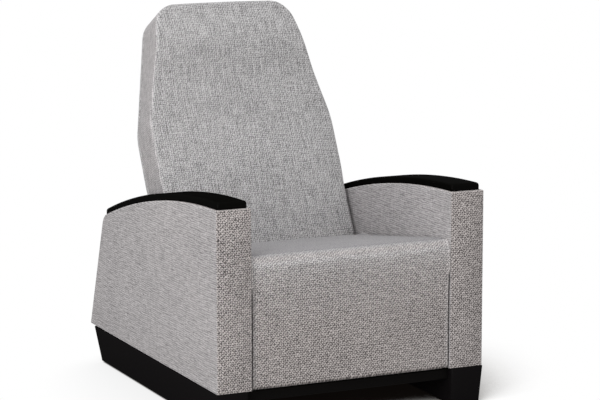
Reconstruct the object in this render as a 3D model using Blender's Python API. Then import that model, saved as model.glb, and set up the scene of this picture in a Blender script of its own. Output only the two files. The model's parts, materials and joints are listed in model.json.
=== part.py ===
"""A push-back healthcare recliner, modelled as the pieces that it comes apart into.

Lengths are in metres and angles in degrees. +Z is up and the chair faces -Y. Left and right are as seen
from the front, so left is -X. Side views are written as (y, z), with y = 0 at the arm fronts. The whole
chair is then moved so that its origin is the middle of its footprint.

The back turns on a bolt in each arm. A pin lower down on each back plate pushes the seat forward along its
runners. A second pin, below that one, pushes a drive bar, whose front pin swings the footrest up.
"""

import math

import bmesh
import bpy
from mathutils import Matrix, Vector

# Clearances
GAP = 0.0003
SIDE_GAP = 0.0006
PIN_CLEARANCE = 0.0003
SLOT_CLEARANCE = 0.0009

# Whole chair
CHAIR_WIDTH = 0.790
CHAIR_HEIGHT = 1.0557

# Arms
ARM_THICKNESS = 0.099
ARM_FRONT_HEIGHT = 0.596
ARM_FOOT_HEIGHT = 0.105
ARM_DEPTH_AT_FOOT = 0.9625
ARM_DEPTH_AT_TOP = 0.8505
ARM_TOP_RADIUS = 2.55
ARM_TOP_CREST = -0.015
ARM_REAR_CORNER = 0.022
ARM_EDGE = 0.006
ARM_PADDING = 0.010
ARM_TOP_STEPS = 10

# Wooden frame inside each arm
POST_WIDTH = 0.050
PIVOT_POST_WIDTH = 0.080
ARM_RAIL_HEIGHT = 0.055
WINDOW_CORNER = 0.015

# Arm caps
CAP_WIDTH = 0.080
CAP_THICKNESS = 0.018
CAP_FRONT_SETBACK = 0.012
CAP_REAR_SETBACK = 0.016
CAP_CORNER = 0.013
CAP_EDGE = 0.006

# Plinths and glides
PLINTH_LIP = 0.0025
PLINTH_TAPER = 0.008
PLINTH_INSET = 0.007
PLINTH_REAR_SETBACK = 0.0315
PLINTH_RAKE = 0.031
PLINTH_CORNER = 0.008
GLIDE_INSET = 0.045
GLIDE_HEIGHT = 0.004
GLIDE_RADIUS = 0.018
GLIDE_CHAMFER = 0.0015

# Cross rails between the plinths
RAIL_HEIGHT = 0.030
RAIL_DEPTH = 0.040
RAIL_WALL = 0.0025
RAIL_CORNER = 0.004
RAIL_TOP = 0.101
FRONT_RAIL_Y = 0.022
REAR_RAIL_SETBACK = 0.100

# Seat
SEAT_PITCH = 8.5
SEAT_FRONT_HEIGHT = 0.467
SEAT_NOSE_RADIUS = 0.036
SEAT_LIP_DEPTH = 0.026
SEAT_BACK_CLEARANCE = 0.005
SEAT_SIDE_CLEARANCE = 0.005
SEAT_EDGE = 0.010
SEAT_CROWN = 0.005
SEAT_DRAW = 0.003
SEAT_FRAME_HEIGHT = 0.030
SEAT_FRAME_FRONT = 0.0295
SEAT_FRAME_REAR = 0.528
SEAT_FRAME_RAIL = 0.045
SEAT_FRAME_CORNER = 0.012
STRAP_WIDTH = 0.050
STRAP_THICKNESS = 0.0016
STRAP_COUNT = 4
STRAP_SPREAD = 0.400

# Footrest and its continuous hinge
HINGE_Y = 0.004
HINGE_Z = 0.3785
HINGE_PIN_RADIUS = 0.0012
HINGE_KNUCKLE_RADIUS = 0.0028
HINGE_LEAF_THICKNESS = 0.0012
HINGE_LEAF_DEPTH = 0.046
HINGE_END_MARGIN = 0.010
HINGE_KNUCKLES = 9
FOOTREST_SWING = 78.0
FOOTREST_PAD_THICKNESS = 0.0347
FOOTREST_PAD_EDGE = 0.008
FOOTREST_CROWN = 0.003
FOOTREST_SETBACK = 0.003
FOOTREST_SIDE_CLEARANCE = 0.0055
FOOTREST_BOARD_THICKNESS = 0.012
FOOTREST_BOARD_MARGIN = 0.010
FOOTREST_SEAM = 0.0040

# Back
BACK_LEAN = 27.0
HEAD_TILT = 3.7
BACK_FOOT_Y = 0.563
BACK_FOOT_Z = 0.388
BACK_TUCK = 0.036
SHOULDER_RISE = 0.376
TOP_WIDTH = 0.412
TOP_CORNER = 0.058
SHOULDER_CORNER = 0.060
BACK_CUSHION_THICKNESS = 0.078
BACK_CUSHION_EDGE = 0.020
BACK_CUSHION_CROWN = 0.004
BACK_DRAW = 0.003
HEAD_ROLL = 0.008
HEAD_ROLL_RISE = 0.240
HEAD_ROLL_SPAN = 0.150
BACK_FRAME_THICKNESS = 0.028
BACK_FRAME_RAIL = 0.055
BACK_FRAME_INSET = 0.006
BACK_PANEL_THICKNESS = 0.0160
BACK_PANEL_EDGE = 0.005
BACK_STRAPS = 4

# Reclining mechanism
RECLINE = 30.0
PIVOT_RISE = 0.089
PIVOT_DEPTH = 0.060
PIVOT_BOLT_RADIUS = 0.006
PIVOT_COLLAR_RADIUS = 0.011
PIVOT_BOLT_SEAT = 0.045
SEAT_PIN_REACH = 0.110
DRIVE_PIN_REACH = 0.285
PIN_RADIUS = 0.005
PIN_COLLAR_RADIUS = 0.008
PIN_HEAD_RADIUS = 0.0085
PIN_HEAD_THICKNESS = 0.0018
BACK_PLATE_TO_ARM = 0.0045
BACK_PLATE_THICKNESS = 0.004
BACK_PLATE_HALF_WIDTH = 0.017
BACK_PLATE_RISE = 0.045
CRANK_TO_ARM = 0.0115
CRANK_THICKNESS = 0.004
CRANK_MARGIN = 0.010
CRANK_FLANGE_WIDTH = 0.040
BAR_THICKNESS = 0.005
BAR_HALF_HEIGHT = 0.012
BAR_DROP = 0.074
BAR_FRONT = 0.098
BAR_BEND = 0.110
SIDE_PLATE_THICKNESS = 0.004
SIDE_PLATE_FRONT = 0.125
SIDE_PLATE_REAR = 0.500
SIDE_PLATE_SHOULDER = 0.568
SIDE_PLATE_ARM_HALF_WIDTH = 0.014
SIDE_PLATE_CORNER = 0.012
GUIDE_PIN_RADIUS = 0.004
FRONT_GUIDE = 0.160
REAR_GUIDE = 0.420
RUNNER_HEIGHT = 0.026
RUNNER_DEPTH = 0.012
RUNNER_WALL = 0.003
RUNNER_CENTRE = -0.012
RUNNER_OVERRUN = 0.001
RUNNER_REAR = 0.445
SLIDER_FRONT = 0.170
SLIDER_REAR = 0.440

# Facets
PIN_STEPS = 20
FILLET_STEPS = 4
EDGE_STEPS = 3
SLOT_STEPS = 12
PAD_STEPS = 7
SMOOTH_ANGLE = 40.0
FILLET_REACH = 0.45
MITRE_LIMIT = 0.5
BEVEL_PROFILE = 0.5
STRAIGHT = 0.01
WELD = 1e-6

# Places worked out from the sizes above
ARM_OUTER = CHAIR_WIDTH / 2
ARM_INNER = ARM_OUTER - ARM_THICKNESS
PLINTH_DEPTH_AT_TOP = ARM_DEPTH_AT_FOOT - PLINTH_REAR_SETBACK
PLINTH_DEPTH_AT_FLOOR = PLINTH_DEPTH_AT_TOP - PLINTH_RAKE
REAR_RAIL_Y = PLINTH_DEPTH_AT_FLOOR - REAR_RAIL_SETBACK
PITCH = math.radians(SEAT_PITCH)
LEAN = math.radians(BACK_LEAN)
HALF_RECLINE = math.radians(RECLINE) / 2
SWING = math.radians(FOOTREST_SWING)
HEAD_SLOPE = math.tan(math.radians(HEAD_TILT))
BACK_PLATE_OUT = ARM_INNER - BACK_PLATE_TO_ARM
BACK_PLATE_IN = BACK_PLATE_OUT - BACK_PLATE_THICKNESS
BACK_HALF_WIDTH = BACK_PLATE_IN - GAP
CRANK_OUT = ARM_INNER - CRANK_TO_ARM
CRANK_IN = CRANK_OUT - CRANK_THICKNESS
BAR_OUT = CRANK_IN - SIDE_GAP
BAR_IN = BAR_OUT - BAR_THICKNESS
SIDE_PLATE_OUT = BAR_IN - SIDE_GAP
SIDE_PLATE_IN = SIDE_PLATE_OUT - SIDE_PLATE_THICKNESS
SEAT_FRAME_HALF_WIDTH = SIDE_PLATE_IN - GAP
HINGE_LENGTH = 2 * (SEAT_FRAME_HALF_WIDTH - HINGE_END_MARGIN)
RUNNER_OUT = ARM_INNER - GAP
RUNNER_IN = RUNNER_OUT - RUNNER_DEPTH
HINGE = (HINGE_Y, HINGE_Z)
PIVOT = (
    BACK_FOOT_Y + PIVOT_RISE * math.sin(LEAN) + PIVOT_DEPTH * math.cos(LEAN),
    BACK_FOOT_Z + PIVOT_RISE * math.cos(LEAN) - PIVOT_DEPTH * math.sin(LEAN),
)
SEAT_TRAVEL = 2 * SEAT_PIN_REACH * math.sin(HALF_RECLINE)
RUNNER_FRONT = SLIDER_FRONT - SEAT_TRAVEL - RUNNER_OVERRUN
BAR_TRAVEL = 2 * (DRIVE_PIN_REACH - SEAT_PIN_REACH) * math.sin(HALF_RECLINE)
SEAT_PIN_DIP = SEAT_PIN_REACH * (1 - math.cos(HALF_RECLINE))
DRIVE_PIN_DIP = DRIVE_PIN_REACH * (1 - math.cos(HALF_RECLINE))
HINGE_APART = SIDE_GAP / 2
FRAME_BOTTOM = HINGE_APART + HINGE_LEAF_THICKNESS + GAP
FRAME_TOP = FRAME_BOTTOM + SEAT_FRAME_HEIGHT
BOARD_FRONT = FOOTREST_SETBACK + FOOTREST_PAD_THICKNESS + GAP
BOARD_REAR = BOARD_FRONT + FOOTREST_BOARD_THICKNESS
FOOTREST_HALF_WIDTH = ARM_INNER - FOOTREST_SIDE_CLEARANCE

# Heights on the back, from its pivot and along its slope, and depths behind its pivot, square to it
BACK_FRONT = -PIVOT_DEPTH
CUSHION_REAR = BACK_FRONT + BACK_CUSHION_THICKNESS
STRAP_FRONT = CUSHION_REAR + GAP
FRAME_FRONT = STRAP_FRONT + STRAP_THICKNESS + GAP
FRAME_REAR = FRAME_FRONT + BACK_FRAME_THICKNESS
PANEL_FRONT = FRAME_REAR + GAP
PANEL_REAR = PANEL_FRONT + BACK_PANEL_THICKNESS
SHOULDER = SHOULDER_RISE - PIVOT_RISE
TOP_LOST_TO_EDGE = BACK_CUSHION_EDGE * (math.sin(LEAN) + math.cos(LEAN) - 1)
SHOULDER_HEIGHT = PIVOT[1] + SHOULDER * math.cos(LEAN) + (BACK_CUSHION_CROWN - BACK_FRONT) * math.sin(LEAN)
HEAD_RISE = (CHAIR_HEIGHT + TOP_LOST_TO_EDGE - SHOULDER_HEIGHT) / (math.cos(LEAN) + HEAD_SLOPE * math.sin(LEAN))
BACK_TOP = SHOULDER + HEAD_RISE
CUSHION_FOOT = -PIVOT_RISE - BACK_TUCK / math.cos(LEAN)


def foot_at(depth):
    """The height at which a level cut under the back meets a given depth."""
    return CUSHION_FOOT + (depth - BACK_FRONT) * math.tan(LEAN)


def turned_by(point, angle):
    """A side-view point turned about the origin, with its top going back."""
    across, up = point
    return (
        across * math.cos(angle) + up * math.sin(angle),
        up * math.cos(angle) - across * math.sin(angle),
    )


def on_seat(point):
    """A side-view point in the seat's frame: rearward and upward from the hinge, along the pitched seat."""
    return turned_by((point[0] - HINGE_Y, point[1] - HINGE_Z), -PITCH)


def below_pivot(reach):
    """A point of the back plates, at rest, in the seat's frame. It swings evenly either side of square."""
    pivot = on_seat(PIVOT)
    return (pivot[0] + reach * math.sin(HALF_RECLINE), pivot[1] - reach * math.cos(HALF_RECLINE))


def on_back(reach):
    """The same point in the back's frame: rearward and upward from the pivot."""
    return turned_by((reach * math.sin(HALF_RECLINE), -reach * math.cos(HALF_RECLINE)), PITCH - LEAN)


def arm_top(y):
    """The height of the arm's arched top."""
    crest = ARM_FRONT_HEIGHT - ARM_TOP_RADIUS + ARM_TOP_CREST**2 / (2 * ARM_TOP_RADIUS)
    return crest + math.sqrt(ARM_TOP_RADIUS**2 - (y - ARM_TOP_CREST) ** 2)


def arm_rear(z):
    """The depth of the arm's slanted rear edge."""
    top = arm_top(ARM_DEPTH_AT_TOP)
    share = (z - ARM_FOOT_HEIGHT) / (top - ARM_FOOT_HEIGHT)
    return ARM_DEPTH_AT_FOOT + (ARM_DEPTH_AT_TOP - ARM_DEPTH_AT_FOOT) * share


def spread(first, last, count):
    """Evenly spaced numbers, both ends included."""
    return [first + (last - first) * i / (count - 1) for i in range(count)]


def circle(centre, radius, steps=PIN_STEPS):
    turns = [math.tau * i / steps for i in range(steps)]
    return [(centre[0] + radius * math.cos(t), centre[1] + radius * math.sin(t)) for t in turns]


def filleted(corners, radius, steps=FILLET_STEPS):
    """A polygon with rounded corners. A corner may carry its own radius as a third number."""
    outline = []
    for i, corner in enumerate(corners):
        here = Vector(corner[:2])
        before = Vector(corners[i - 1][:2]) - here
        after = Vector(corners[(i + 1) % len(corners)][:2]) - here
        half = before.angle(after) / 2
        wanted = corner[2] if len(corner) > 2 else radius
        if wanted <= 0 or math.cos(half) < STRAIGHT:
            outline.append(tuple(here))
            continue
        reach = min(wanted / math.tan(half), before.length * FILLET_REACH, after.length * FILLET_REACH)
        bend = reach * math.tan(half)
        centre = here + (before.normalized() + after.normalized()).normalized() * bend / math.sin(half)
        start = here + before.normalized() * reach - centre
        end = here + after.normalized() * reach - centre
        turn = start.angle_signed(end)
        for t in spread(0, 1, steps):
            arm = start.copy()
            arm.rotate(Matrix.Rotation(-turn * t, 2))
            outline.append(tuple(centre + arm))
    return outline


def band(points, half_width, steps=PIN_STEPS // 2):
    """The outline of a strip with round ends that follows a line."""
    line = [Vector(p) for p in points]
    ways = [(b - a).normalized() for a, b in zip(line, line[1:])]
    left, right = [], []
    for i, here in enumerate(line):
        before = ways[max(i - 1, 0)]
        after = ways[min(i, len(ways) - 1)]
        way = (before + after).normalized()
        across = Vector((-way.y, way.x)) * half_width / way.dot(after)
        left.append(tuple(here + across))
        right.append(tuple(here - across))

    def cap(centre, way):
        start = math.atan2(way.x, -way.y)
        turns = [start - math.pi * t for t in spread(0, 1, steps + 1)[1:-1]]
        return [(centre.x + half_width * math.cos(t), centre.y + half_width * math.sin(t)) for t in turns]

    return left + cap(line[-1], ways[-1]) + right[::-1] + cap(line[0], -ways[0])


def inset(outline, distance):
    """An outline drawn in by a distance at every corner."""
    points = [Vector(p) for p in outline]
    area = sum(a.x * b.y - a.y * b.x for a, b in zip(points, points[1:] + points[:1]))
    side = math.copysign(1, area)
    drawn = []
    for i, here in enumerate(points):
        before = (here - points[i - 1]).normalized()
        after = (points[(i + 1) % len(points)] - here).normalized()
        way = (before + after).normalized()
        reach = side * distance / max(way.dot(after), MITRE_LIMIT)
        drawn.append(tuple(here + Vector((-way.y, way.x)) * reach))
    return drawn


def side_view(u, v):
    return Vector((0, u, v))


def plan_view(u, v):
    return Vector((u, v, 0))


def front_view(u, v):
    return Vector((u, 0, v))


def rounded(bm, edges, radius, segments=EDGE_STEPS):
    bmesh.ops.bevel(
        bm,
        geom=edges,
        offset=radius,
        segments=segments,
        profile=BEVEL_PROFILE,
        affect="EDGES",
        material=-1,
    )


def sharp(edge):
    return edge.calc_face_angle(0) > math.radians(SMOOTH_ANGLE)


def moved(bm, step):
    bmesh.ops.translate(bm, vec=step, verts=bm.verts)
    return bm


def slab(outline, view, start, step, holes=()):
    """A flat shape, with holes through it, drawn in one view and extruded along a step."""
    bm = bmesh.new()
    edges = []
    for loop in (outline, *holes):
        verts = [bm.verts.new(view(*p) + start) for p in loop]
        edges += [bm.edges.new(pair) for pair in zip(verts, verts[1:] + verts[:1])]
    if holes:
        bmesh.ops.triangle_fill(bm, use_beauty=True, edges=edges)
    else:
        bm.faces.new(bm.verts)
    grown = bmesh.ops.extrude_face_region(bm, geom=bm.faces[:])["geom"]
    bmesh.ops.translate(bm, vec=step, verts=[g for g in grown if isinstance(g, bmesh.types.BMVert)])
    bmesh.ops.recalc_face_normals(bm, faces=bm.faces)
    return bm


def side_slab(outline, x_from, x_to, holes=()):
    return slab(outline, side_view, Vector((x_from, 0, 0)), Vector((x_to - x_from, 0, 0)), holes)


def loft(rings):
    """A closed skin through rings of points, made by extruding the first ring's face again and again."""
    bm = bmesh.new()
    first = cap = bm.faces.new([bm.verts.new(p) for p in rings[0]])
    for ring in rings[1:]:
        grown = bmesh.ops.extrude_face_region(bm, geom=[cap])["geom"]
        if cap != first:
            bm.faces.remove(cap)
        cap = next(g for g in grown if isinstance(g, bmesh.types.BMFace))
        for vert, point in zip(cap.verts, ring):
            vert.co = point
    bmesh.ops.recalc_face_normals(bm, faces=bm.faces)
    return bm


def lathe(profile, axis, steps=PIN_STEPS):
    """A turned piece. The profile is (distance along the axis, radius), from end to end."""
    bm = bmesh.new()
    out = axis.orthogonal().normalized()
    verts = [bm.verts.new(axis * along + out * radius) for along, radius in profile]
    edges = [bm.edges.new(pair) for pair in zip(verts, verts[1:])]
    bmesh.ops.spin(
        bm,
        geom=verts + edges,
        cent=(0, 0, 0),
        axis=axis,
        angle=math.tau,
        steps=steps,
        use_merge=True,
        use_duplicate=False,
    )
    bmesh.ops.remove_doubles(bm, verts=bm.verts, dist=WELD)
    bmesh.ops.recalc_face_normals(bm, faces=bm.faces)
    return bm


def pin(steps_of_profile, side, centre):
    """A turned pin across the chair. The profile runs outwards from the middle of the chair."""
    profile = [(side * x, radius) for x, radius in steps_of_profile]
    return moved(lathe(profile, Vector((1, 0, 0))), Vector((0, *centre)))


def padded_block(outline, half_width, edge, crown, draw, is_face):
    """An upholstered block across the chair, with rounded, drawn-in ends and a crowned face."""
    low = min(p[0] for p in outline)
    span = max(p[0] for p in outline) - low
    turns = [math.pi / 2 * t for t in spread(1, 0, EDGE_STEPS + 1)]
    ends = [(half_width - edge * (1 - math.sin(t)), edge * (1 - math.cos(t))) for t in turns]
    middle = [(x, 0) for x in spread(half_width - edge, edge - half_width, PAD_STEPS)[1:-1]]
    rings = []
    for x, drawn in ends + middle + [(-x, drawn) for x, drawn in reversed(ends)]:
        swell = crown * (1 - (x / half_width) ** 2)
        ring = []
        for (u, v), (plain_u, plain_v) in zip(inset(outline, drawn), outline):
            rise = Vector(is_face(plain_u, plain_v)) * swell
            pull = draw * math.sin(math.pi * (plain_u - low) / span) * abs(x) / half_width
            ring.append(Vector((math.copysign(abs(x) - pull, x), u + rise.x, v + rise.y)))
        rings.append(ring)
    return loft(rings)


def finish(name, colour, roughness, metallic=0.0):
    material = bpy.data.materials.new(name)
    material.use_nodes = True
    shader = material.node_tree.nodes["Principled BSDF"]
    shader.inputs["Base Color"].default_value = (*colour, 1)
    shader.inputs["Roughness"].default_value = roughness
    shader.inputs["Metallic"].default_value = metallic
    return material


def axis_empty(name, parent, place, tilt=0.0):
    empty = bpy.data.objects.new(name, None)
    bpy.context.scene.collection.objects.link(empty)
    empty.parent = parent
    empty.location = place
    empty.rotation_euler.x = tilt
    return empty


def piece(name, bm, material, parent, tilt=0.0):
    mesh = bpy.data.meshes.new(name)
    bm.to_mesh(mesh)
    bm.free()
    mesh.materials.append(material)
    mesh.shade_smooth()
    mesh.set_sharp_from_angle(angle=math.radians(SMOOTH_ANGLE))
    obj = bpy.data.objects.new(name, mesh)
    bpy.context.scene.collection.objects.link(obj)
    obj.parent = parent
    obj.rotation_euler.x = tilt
    return obj


def boolean(obj, tool, operation="DIFFERENCE"):
    """Cuts or joins with a helper object, which stays in the scene as a wire outline."""
    tool.hide_render = True
    tool.display_type = "WIRE"
    modifier = obj.modifiers.new(operation.lower(), "BOOLEAN")
    modifier.operation = operation
    modifier.object = tool
    modifier.solver = "EXACT"


def arm_outline(drawn_in, foot):
    """The arm's side view, drawn in by the padding for the frame inside it."""
    front = drawn_in
    slant = math.atan2(ARM_DEPTH_AT_FOOT - ARM_DEPTH_AT_TOP, arm_top(ARM_DEPTH_AT_TOP) - ARM_FOOT_HEIGHT)
    back_off = drawn_in / math.cos(slant)
    rear_top = ARM_DEPTH_AT_TOP - back_off
    corners = [(front, foot, 0)]
    corners += [(y, arm_top(y) - drawn_in, 0) for y in spread(front, rear_top, ARM_TOP_STEPS)[:-1]]
    corners += [(rear_top, arm_top(rear_top) - drawn_in, max(ARM_REAR_CORNER - drawn_in, ARM_EDGE))]
    corners += [(arm_rear(foot) - back_off, foot, 0)]
    return filleted(corners, 0)


def frame_windows(drawn_in):
    """The two openings of the arm's frame, either side of the post that takes the pivot bolt."""
    low = ARM_FOOT_HEIGHT + ARM_RAIL_HEIGHT
    post = PIVOT_POST_WIDTH / 2
    front = (drawn_in + POST_WIDTH, PIVOT[0] - post)
    rear = (PIVOT[0] + post, arm_rear(arm_top(ARM_DEPTH_AT_TOP)) - drawn_in - POST_WIDTH)
    windows = []
    for near, far in (front, rear):
        top = arm_top(far) - drawn_in - ARM_RAIL_HEIGHT
        near_top = arm_top(near) - drawn_in - ARM_RAIL_HEIGHT
        windows.append(filleted([(near, low), (near, near_top), (far, top), (far, low)], WINDOW_CORNER))
    return windows


def build_arm(side, label, parent, looks):
    inner = side * ARM_INNER
    outer = side * ARM_OUTER
    core = ARM_PADDING + GAP
    cover_mesh = side_slab(arm_outline(0, ARM_FOOT_HEIGHT), inner, outer)
    above_foot = [e for e in cover_mesh.edges if max(v.co.z for v in e.verts) > ARM_FOOT_HEIGHT + GAP]
    rim = [e for e in above_foot if sharp(e)]
    rounded(cover_mesh, rim, ARM_EDGE, EDGE_STEPS - 1)
    cover = piece(f"{label}_arm_cover", cover_mesh, looks["fabric"], parent)
    hollow = side_slab(
        arm_outline(ARM_PADDING, ARM_FOOT_HEIGHT - ARM_PADDING),
        inner + side * ARM_PADDING,
        outer - side * ARM_PADDING,
    )
    boolean(cover, piece(f"{label}_arm_hollow_cutter", hollow, looks["fabric"], parent))
    hole = pin(
        [
            (ARM_INNER - ARM_PADDING, 0),
            (ARM_INNER - ARM_PADDING, PIVOT_BOLT_RADIUS + PIN_CLEARANCE),
            (ARM_INNER + 2 * ARM_PADDING, PIVOT_BOLT_RADIUS + PIN_CLEARANCE),
            (ARM_INNER + 2 * ARM_PADDING, 0),
        ],
        side,
        PIVOT,
    )
    boolean(cover, piece(f"{label}_pivot_hole_cutter", hole, looks["fabric"], parent))
    frame = side_slab(
        arm_outline(core, ARM_FOOT_HEIGHT + GAP),
        inner + side * core,
        outer - side * core,
        [*frame_windows(core), circle(PIVOT, PIVOT_BOLT_RADIUS + PIN_CLEARANCE)],
    )
    piece(f"{label}_arm_frame", frame, looks["wood"], parent)


def build_arm_cap(side, label, parent, looks):
    ys = spread(CAP_FRONT_SETBACK, ARM_DEPTH_AT_TOP - CAP_REAR_SETBACK, ARM_TOP_STEPS + 2)
    lower = [(y, arm_top(y) + GAP) for y in ys]
    upper = [(y, arm_top(y) + GAP + CAP_THICKNESS) for y in ys]
    centre = side * (ARM_INNER + ARM_OUTER) / 2
    cap = side_slab(lower + upper[::-1], centre - CAP_WIDTH / 2, centre + CAP_WIDTH / 2)
    upright = [e for e in cap.edges if (e.verts[0].co - e.verts[1].co).cross(Vector((0, 0, 1))).length < GAP]
    rounded(cap, upright, CAP_CORNER)
    top = {v for v in cap.verts if v.co.z > arm_top(v.co.y) + CAP_THICKNESS / 2}
    rounded(cap, [e for e in cap.edges if set(e.verts) <= top and sharp(e)], CAP_EDGE)
    piece(f"{label}_arm_cap", cap, looks["moulding"], parent)


def build_plinth(side, label, parent, looks):
    inner = side * (ARM_INNER + PLINTH_INSET)
    lip = side * (ARM_OUTER + PLINTH_LIP)
    toe = lip - side * PLINTH_TAPER
    top = ARM_FOOT_HEIGHT - GAP
    rings = []
    for low_y, high_y in ((0, 0), (PLINTH_DEPTH_AT_FLOOR, PLINTH_DEPTH_AT_TOP)):
        low = [Vector((inner, low_y, GLIDE_HEIGHT)), Vector((toe, low_y, GLIDE_HEIGHT))]
        rings.append(low + [Vector((lip, high_y, top)), Vector((inner, high_y, top))])
    block = loft(rings)
    uprights = [e for e in block.edges if abs(e.verts[0].co.z - e.verts[1].co.z) > PLINTH_CORNER]
    rounded(block, uprights, PLINTH_CORNER)
    piece(f"{label}_plinth", block, looks["painted_wood"], parent)
    for place, y in (("front", GLIDE_INSET), ("rear", PLINTH_DEPTH_AT_FLOOR - GLIDE_INSET)):
        glide = lathe(
            [
                (0, 0),
                (0, GLIDE_RADIUS - GLIDE_CHAMFER),
                (GLIDE_CHAMFER, GLIDE_RADIUS),
                (GLIDE_HEIGHT - GAP, GLIDE_RADIUS),
                (GLIDE_HEIGHT - GAP, 0),
            ],
            Vector((0, 0, 1)),
        )
        moved(glide, Vector(((inner + toe) / 2, y, 0)))
        piece(f"{label}_{place}_glide", glide, looks["nylon"], parent)


def build_cross_rail(name, y, parent, looks):
    low = RAIL_TOP - RAIL_HEIGHT
    outside = [(y, low), (y + RAIL_DEPTH, low), (y + RAIL_DEPTH, RAIL_TOP), (y, RAIL_TOP)]
    half = ARM_INNER + PLINTH_INSET - GAP
    bore = inset(filleted(outside, RAIL_CORNER), RAIL_WALL)
    piece(name, side_slab(filleted(outside, RAIL_CORNER), -half, half, [bore]), looks["black_steel"], parent)


def build_runner(side, label, chair, seat, looks):
    """The channel on the arm, and the slider on the seat that runs in it."""
    tall = RUNNER_HEIGHT / 2
    wall = RUNNER_WALL
    channel = [
        (RUNNER_OUT, -tall),
        (RUNNER_OUT, tall),
        (RUNNER_IN, tall),
        (RUNNER_IN, tall - wall),
        (RUNNER_OUT - wall, tall - wall),
        (RUNNER_OUT - wall, wall - tall),
        (RUNNER_IN, wall - tall),
        (RUNNER_IN, -tall),
    ]
    start = Vector((0, RUNNER_FRONT, RUNNER_CENTRE))
    length = Vector((0, RUNNER_REAR - RUNNER_FRONT, 0))
    runner = slab([(side * x, z) for x, z in channel], front_view, start, length)
    piece(f"{label}_seat_runner", runner, looks["steel"], chair_pitched(chair))
    half = tall - wall - GAP
    bar = [
        (SIDE_PLATE_OUT + GAP, -half),
        (RUNNER_OUT - wall - SIDE_GAP, -half),
        (RUNNER_OUT - wall - SIDE_GAP, half),
        (SIDE_PLATE_OUT + GAP, half),
    ]
    start = Vector((0, SLIDER_FRONT, RUNNER_CENTRE))
    length = Vector((0, SLIDER_REAR - SLIDER_FRONT, 0))
    slider = slab(filleted([(side * x, z) for x, z in bar], wall / 2), front_view, start, length)
    piece(f"{label}_seat_slider", slider, looks["nylon"], seat)


def chair_pitched(chair):
    """The empty that carries fixed pieces at the seat's pitch. It is made once."""
    found = bpy.data.objects.get("runner_pitch")
    return found or axis_empty("runner_pitch", chair, (0, *HINGE), -PITCH)


def build_seat(seat, looks):
    half = SEAT_FRAME_HALF_WIDTH
    front, rear = SEAT_FRAME_FRONT, SEAT_FRAME_REAR
    middle = (front + rear) / 2
    outside = [(-half, front), (half, front), (half, rear), (-half, rear)]
    windows = []
    for near, far in ((front + SEAT_FRAME_RAIL, middle), (middle, rear - SEAT_FRAME_RAIL)):
        near += SEAT_FRAME_RAIL / 2 * (near == middle)
        far -= SEAT_FRAME_RAIL / 2 * (far == middle)
        x = half - SEAT_FRAME_RAIL
        windows.append(filleted([(-x, near), (x, near), (x, far), (-x, far)], SEAT_FRAME_CORNER))
    frame = slab(
        filleted(outside, SEAT_FRAME_CORNER),
        plan_view,
        Vector((0, 0, FRAME_BOTTOM)),
        Vector((0, 0, SEAT_FRAME_HEIGHT)),
        windows,
    )
    piece("seat_frame", frame, looks["wood"], seat)
    for i, x in enumerate(spread(-STRAP_SPREAD / 2, STRAP_SPREAD / 2, STRAP_COUNT)):
        rings = []
        for y in (front + SEAT_EDGE, rear - SEAT_EDGE):
            low = FRAME_TOP + GAP
            corners = ((-1, 0), (1, 0), (1, STRAP_THICKNESS), (-1, STRAP_THICKNESS))
            rings.append([Vector((x + s * STRAP_WIDTH / 2, y, low + z)) for s, z in corners])
        piece(f"seat_strap_{i + 1}", loft(rings), looks["webbing"], seat)
    build_seat_cushion(seat, looks)


def build_seat_cushion(seat, looks):
    """The cushion lies on the straps, rolls over the front rail and hangs in front of it as a lip."""
    slope = math.tan(PITCH)
    nose_top = SEAT_FRONT_HEIGHT
    foot = HINGE_Z + FOOTREST_SEAM
    back_z = BACK_FOOT_Z
    rear_y = BACK_FOOT_Y - SEAT_BACK_CLEARANCE / math.cos(LEAN)
    rear_top = nose_top - slope * (rear_y - SEAT_NOSE_RADIUS)
    rear_y += (rear_top - back_z) * math.tan(LEAN)
    under = FRAME_TOP + STRAP_THICKNESS + 2 * GAP
    rear_foot = turned_by((SEAT_FRAME_REAR - SEAT_EDGE, under), PITCH)
    lip_top = turned_by((SEAT_LIP_DEPTH + GAP, under), PITCH)
    corners = [
        (0, foot, ARM_EDGE / 2),
        (SEAT_LIP_DEPTH, foot, ARM_EDGE / 2),
        (lip_top[0] + HINGE_Y, lip_top[1] + HINGE_Z, 0),
        (rear_foot[0] + HINGE_Y, rear_foot[1] + HINGE_Z, 0),
        (rear_y, rear_top, SEAT_EDGE),
        (0, nose_top + slope * SEAT_NOSE_RADIUS, SEAT_NOSE_RADIUS),
    ]
    outline = [on_seat(p) for p in filleted(corners, 0, FILLET_STEPS + 2)]
    half = ARM_INNER - SEAT_SIDE_CLEARANCE
    top = on_seat((0, foot))[1] + SEAT_NOSE_RADIUS

    def on_top(u, v):
        return (0, 1) if v > top else (0, 0)

    cushion = padded_block(outline, half, SEAT_EDGE, SEAT_CROWN, SEAT_DRAW, on_top)
    piece("seat_cushion", cushion, looks["fabric"], seat)


def hinge_leaf(thick_from, thick_to):
    """A hinge leaf's end view: a flat leaf that runs into a ring round the pin."""
    ring = HINGE_KNUCKLE_RADIUS
    start = math.asin(thick_to / ring)
    end = math.asin(thick_from / ring)
    turns = spread(start, math.tau + end, PIN_STEPS)
    outline = [(ring * math.cos(t), ring * math.sin(t)) for t in turns]
    return outline + [(HINGE_LEAF_DEPTH, thick_from), (HINGE_LEAF_DEPTH, thick_to)]


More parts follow.
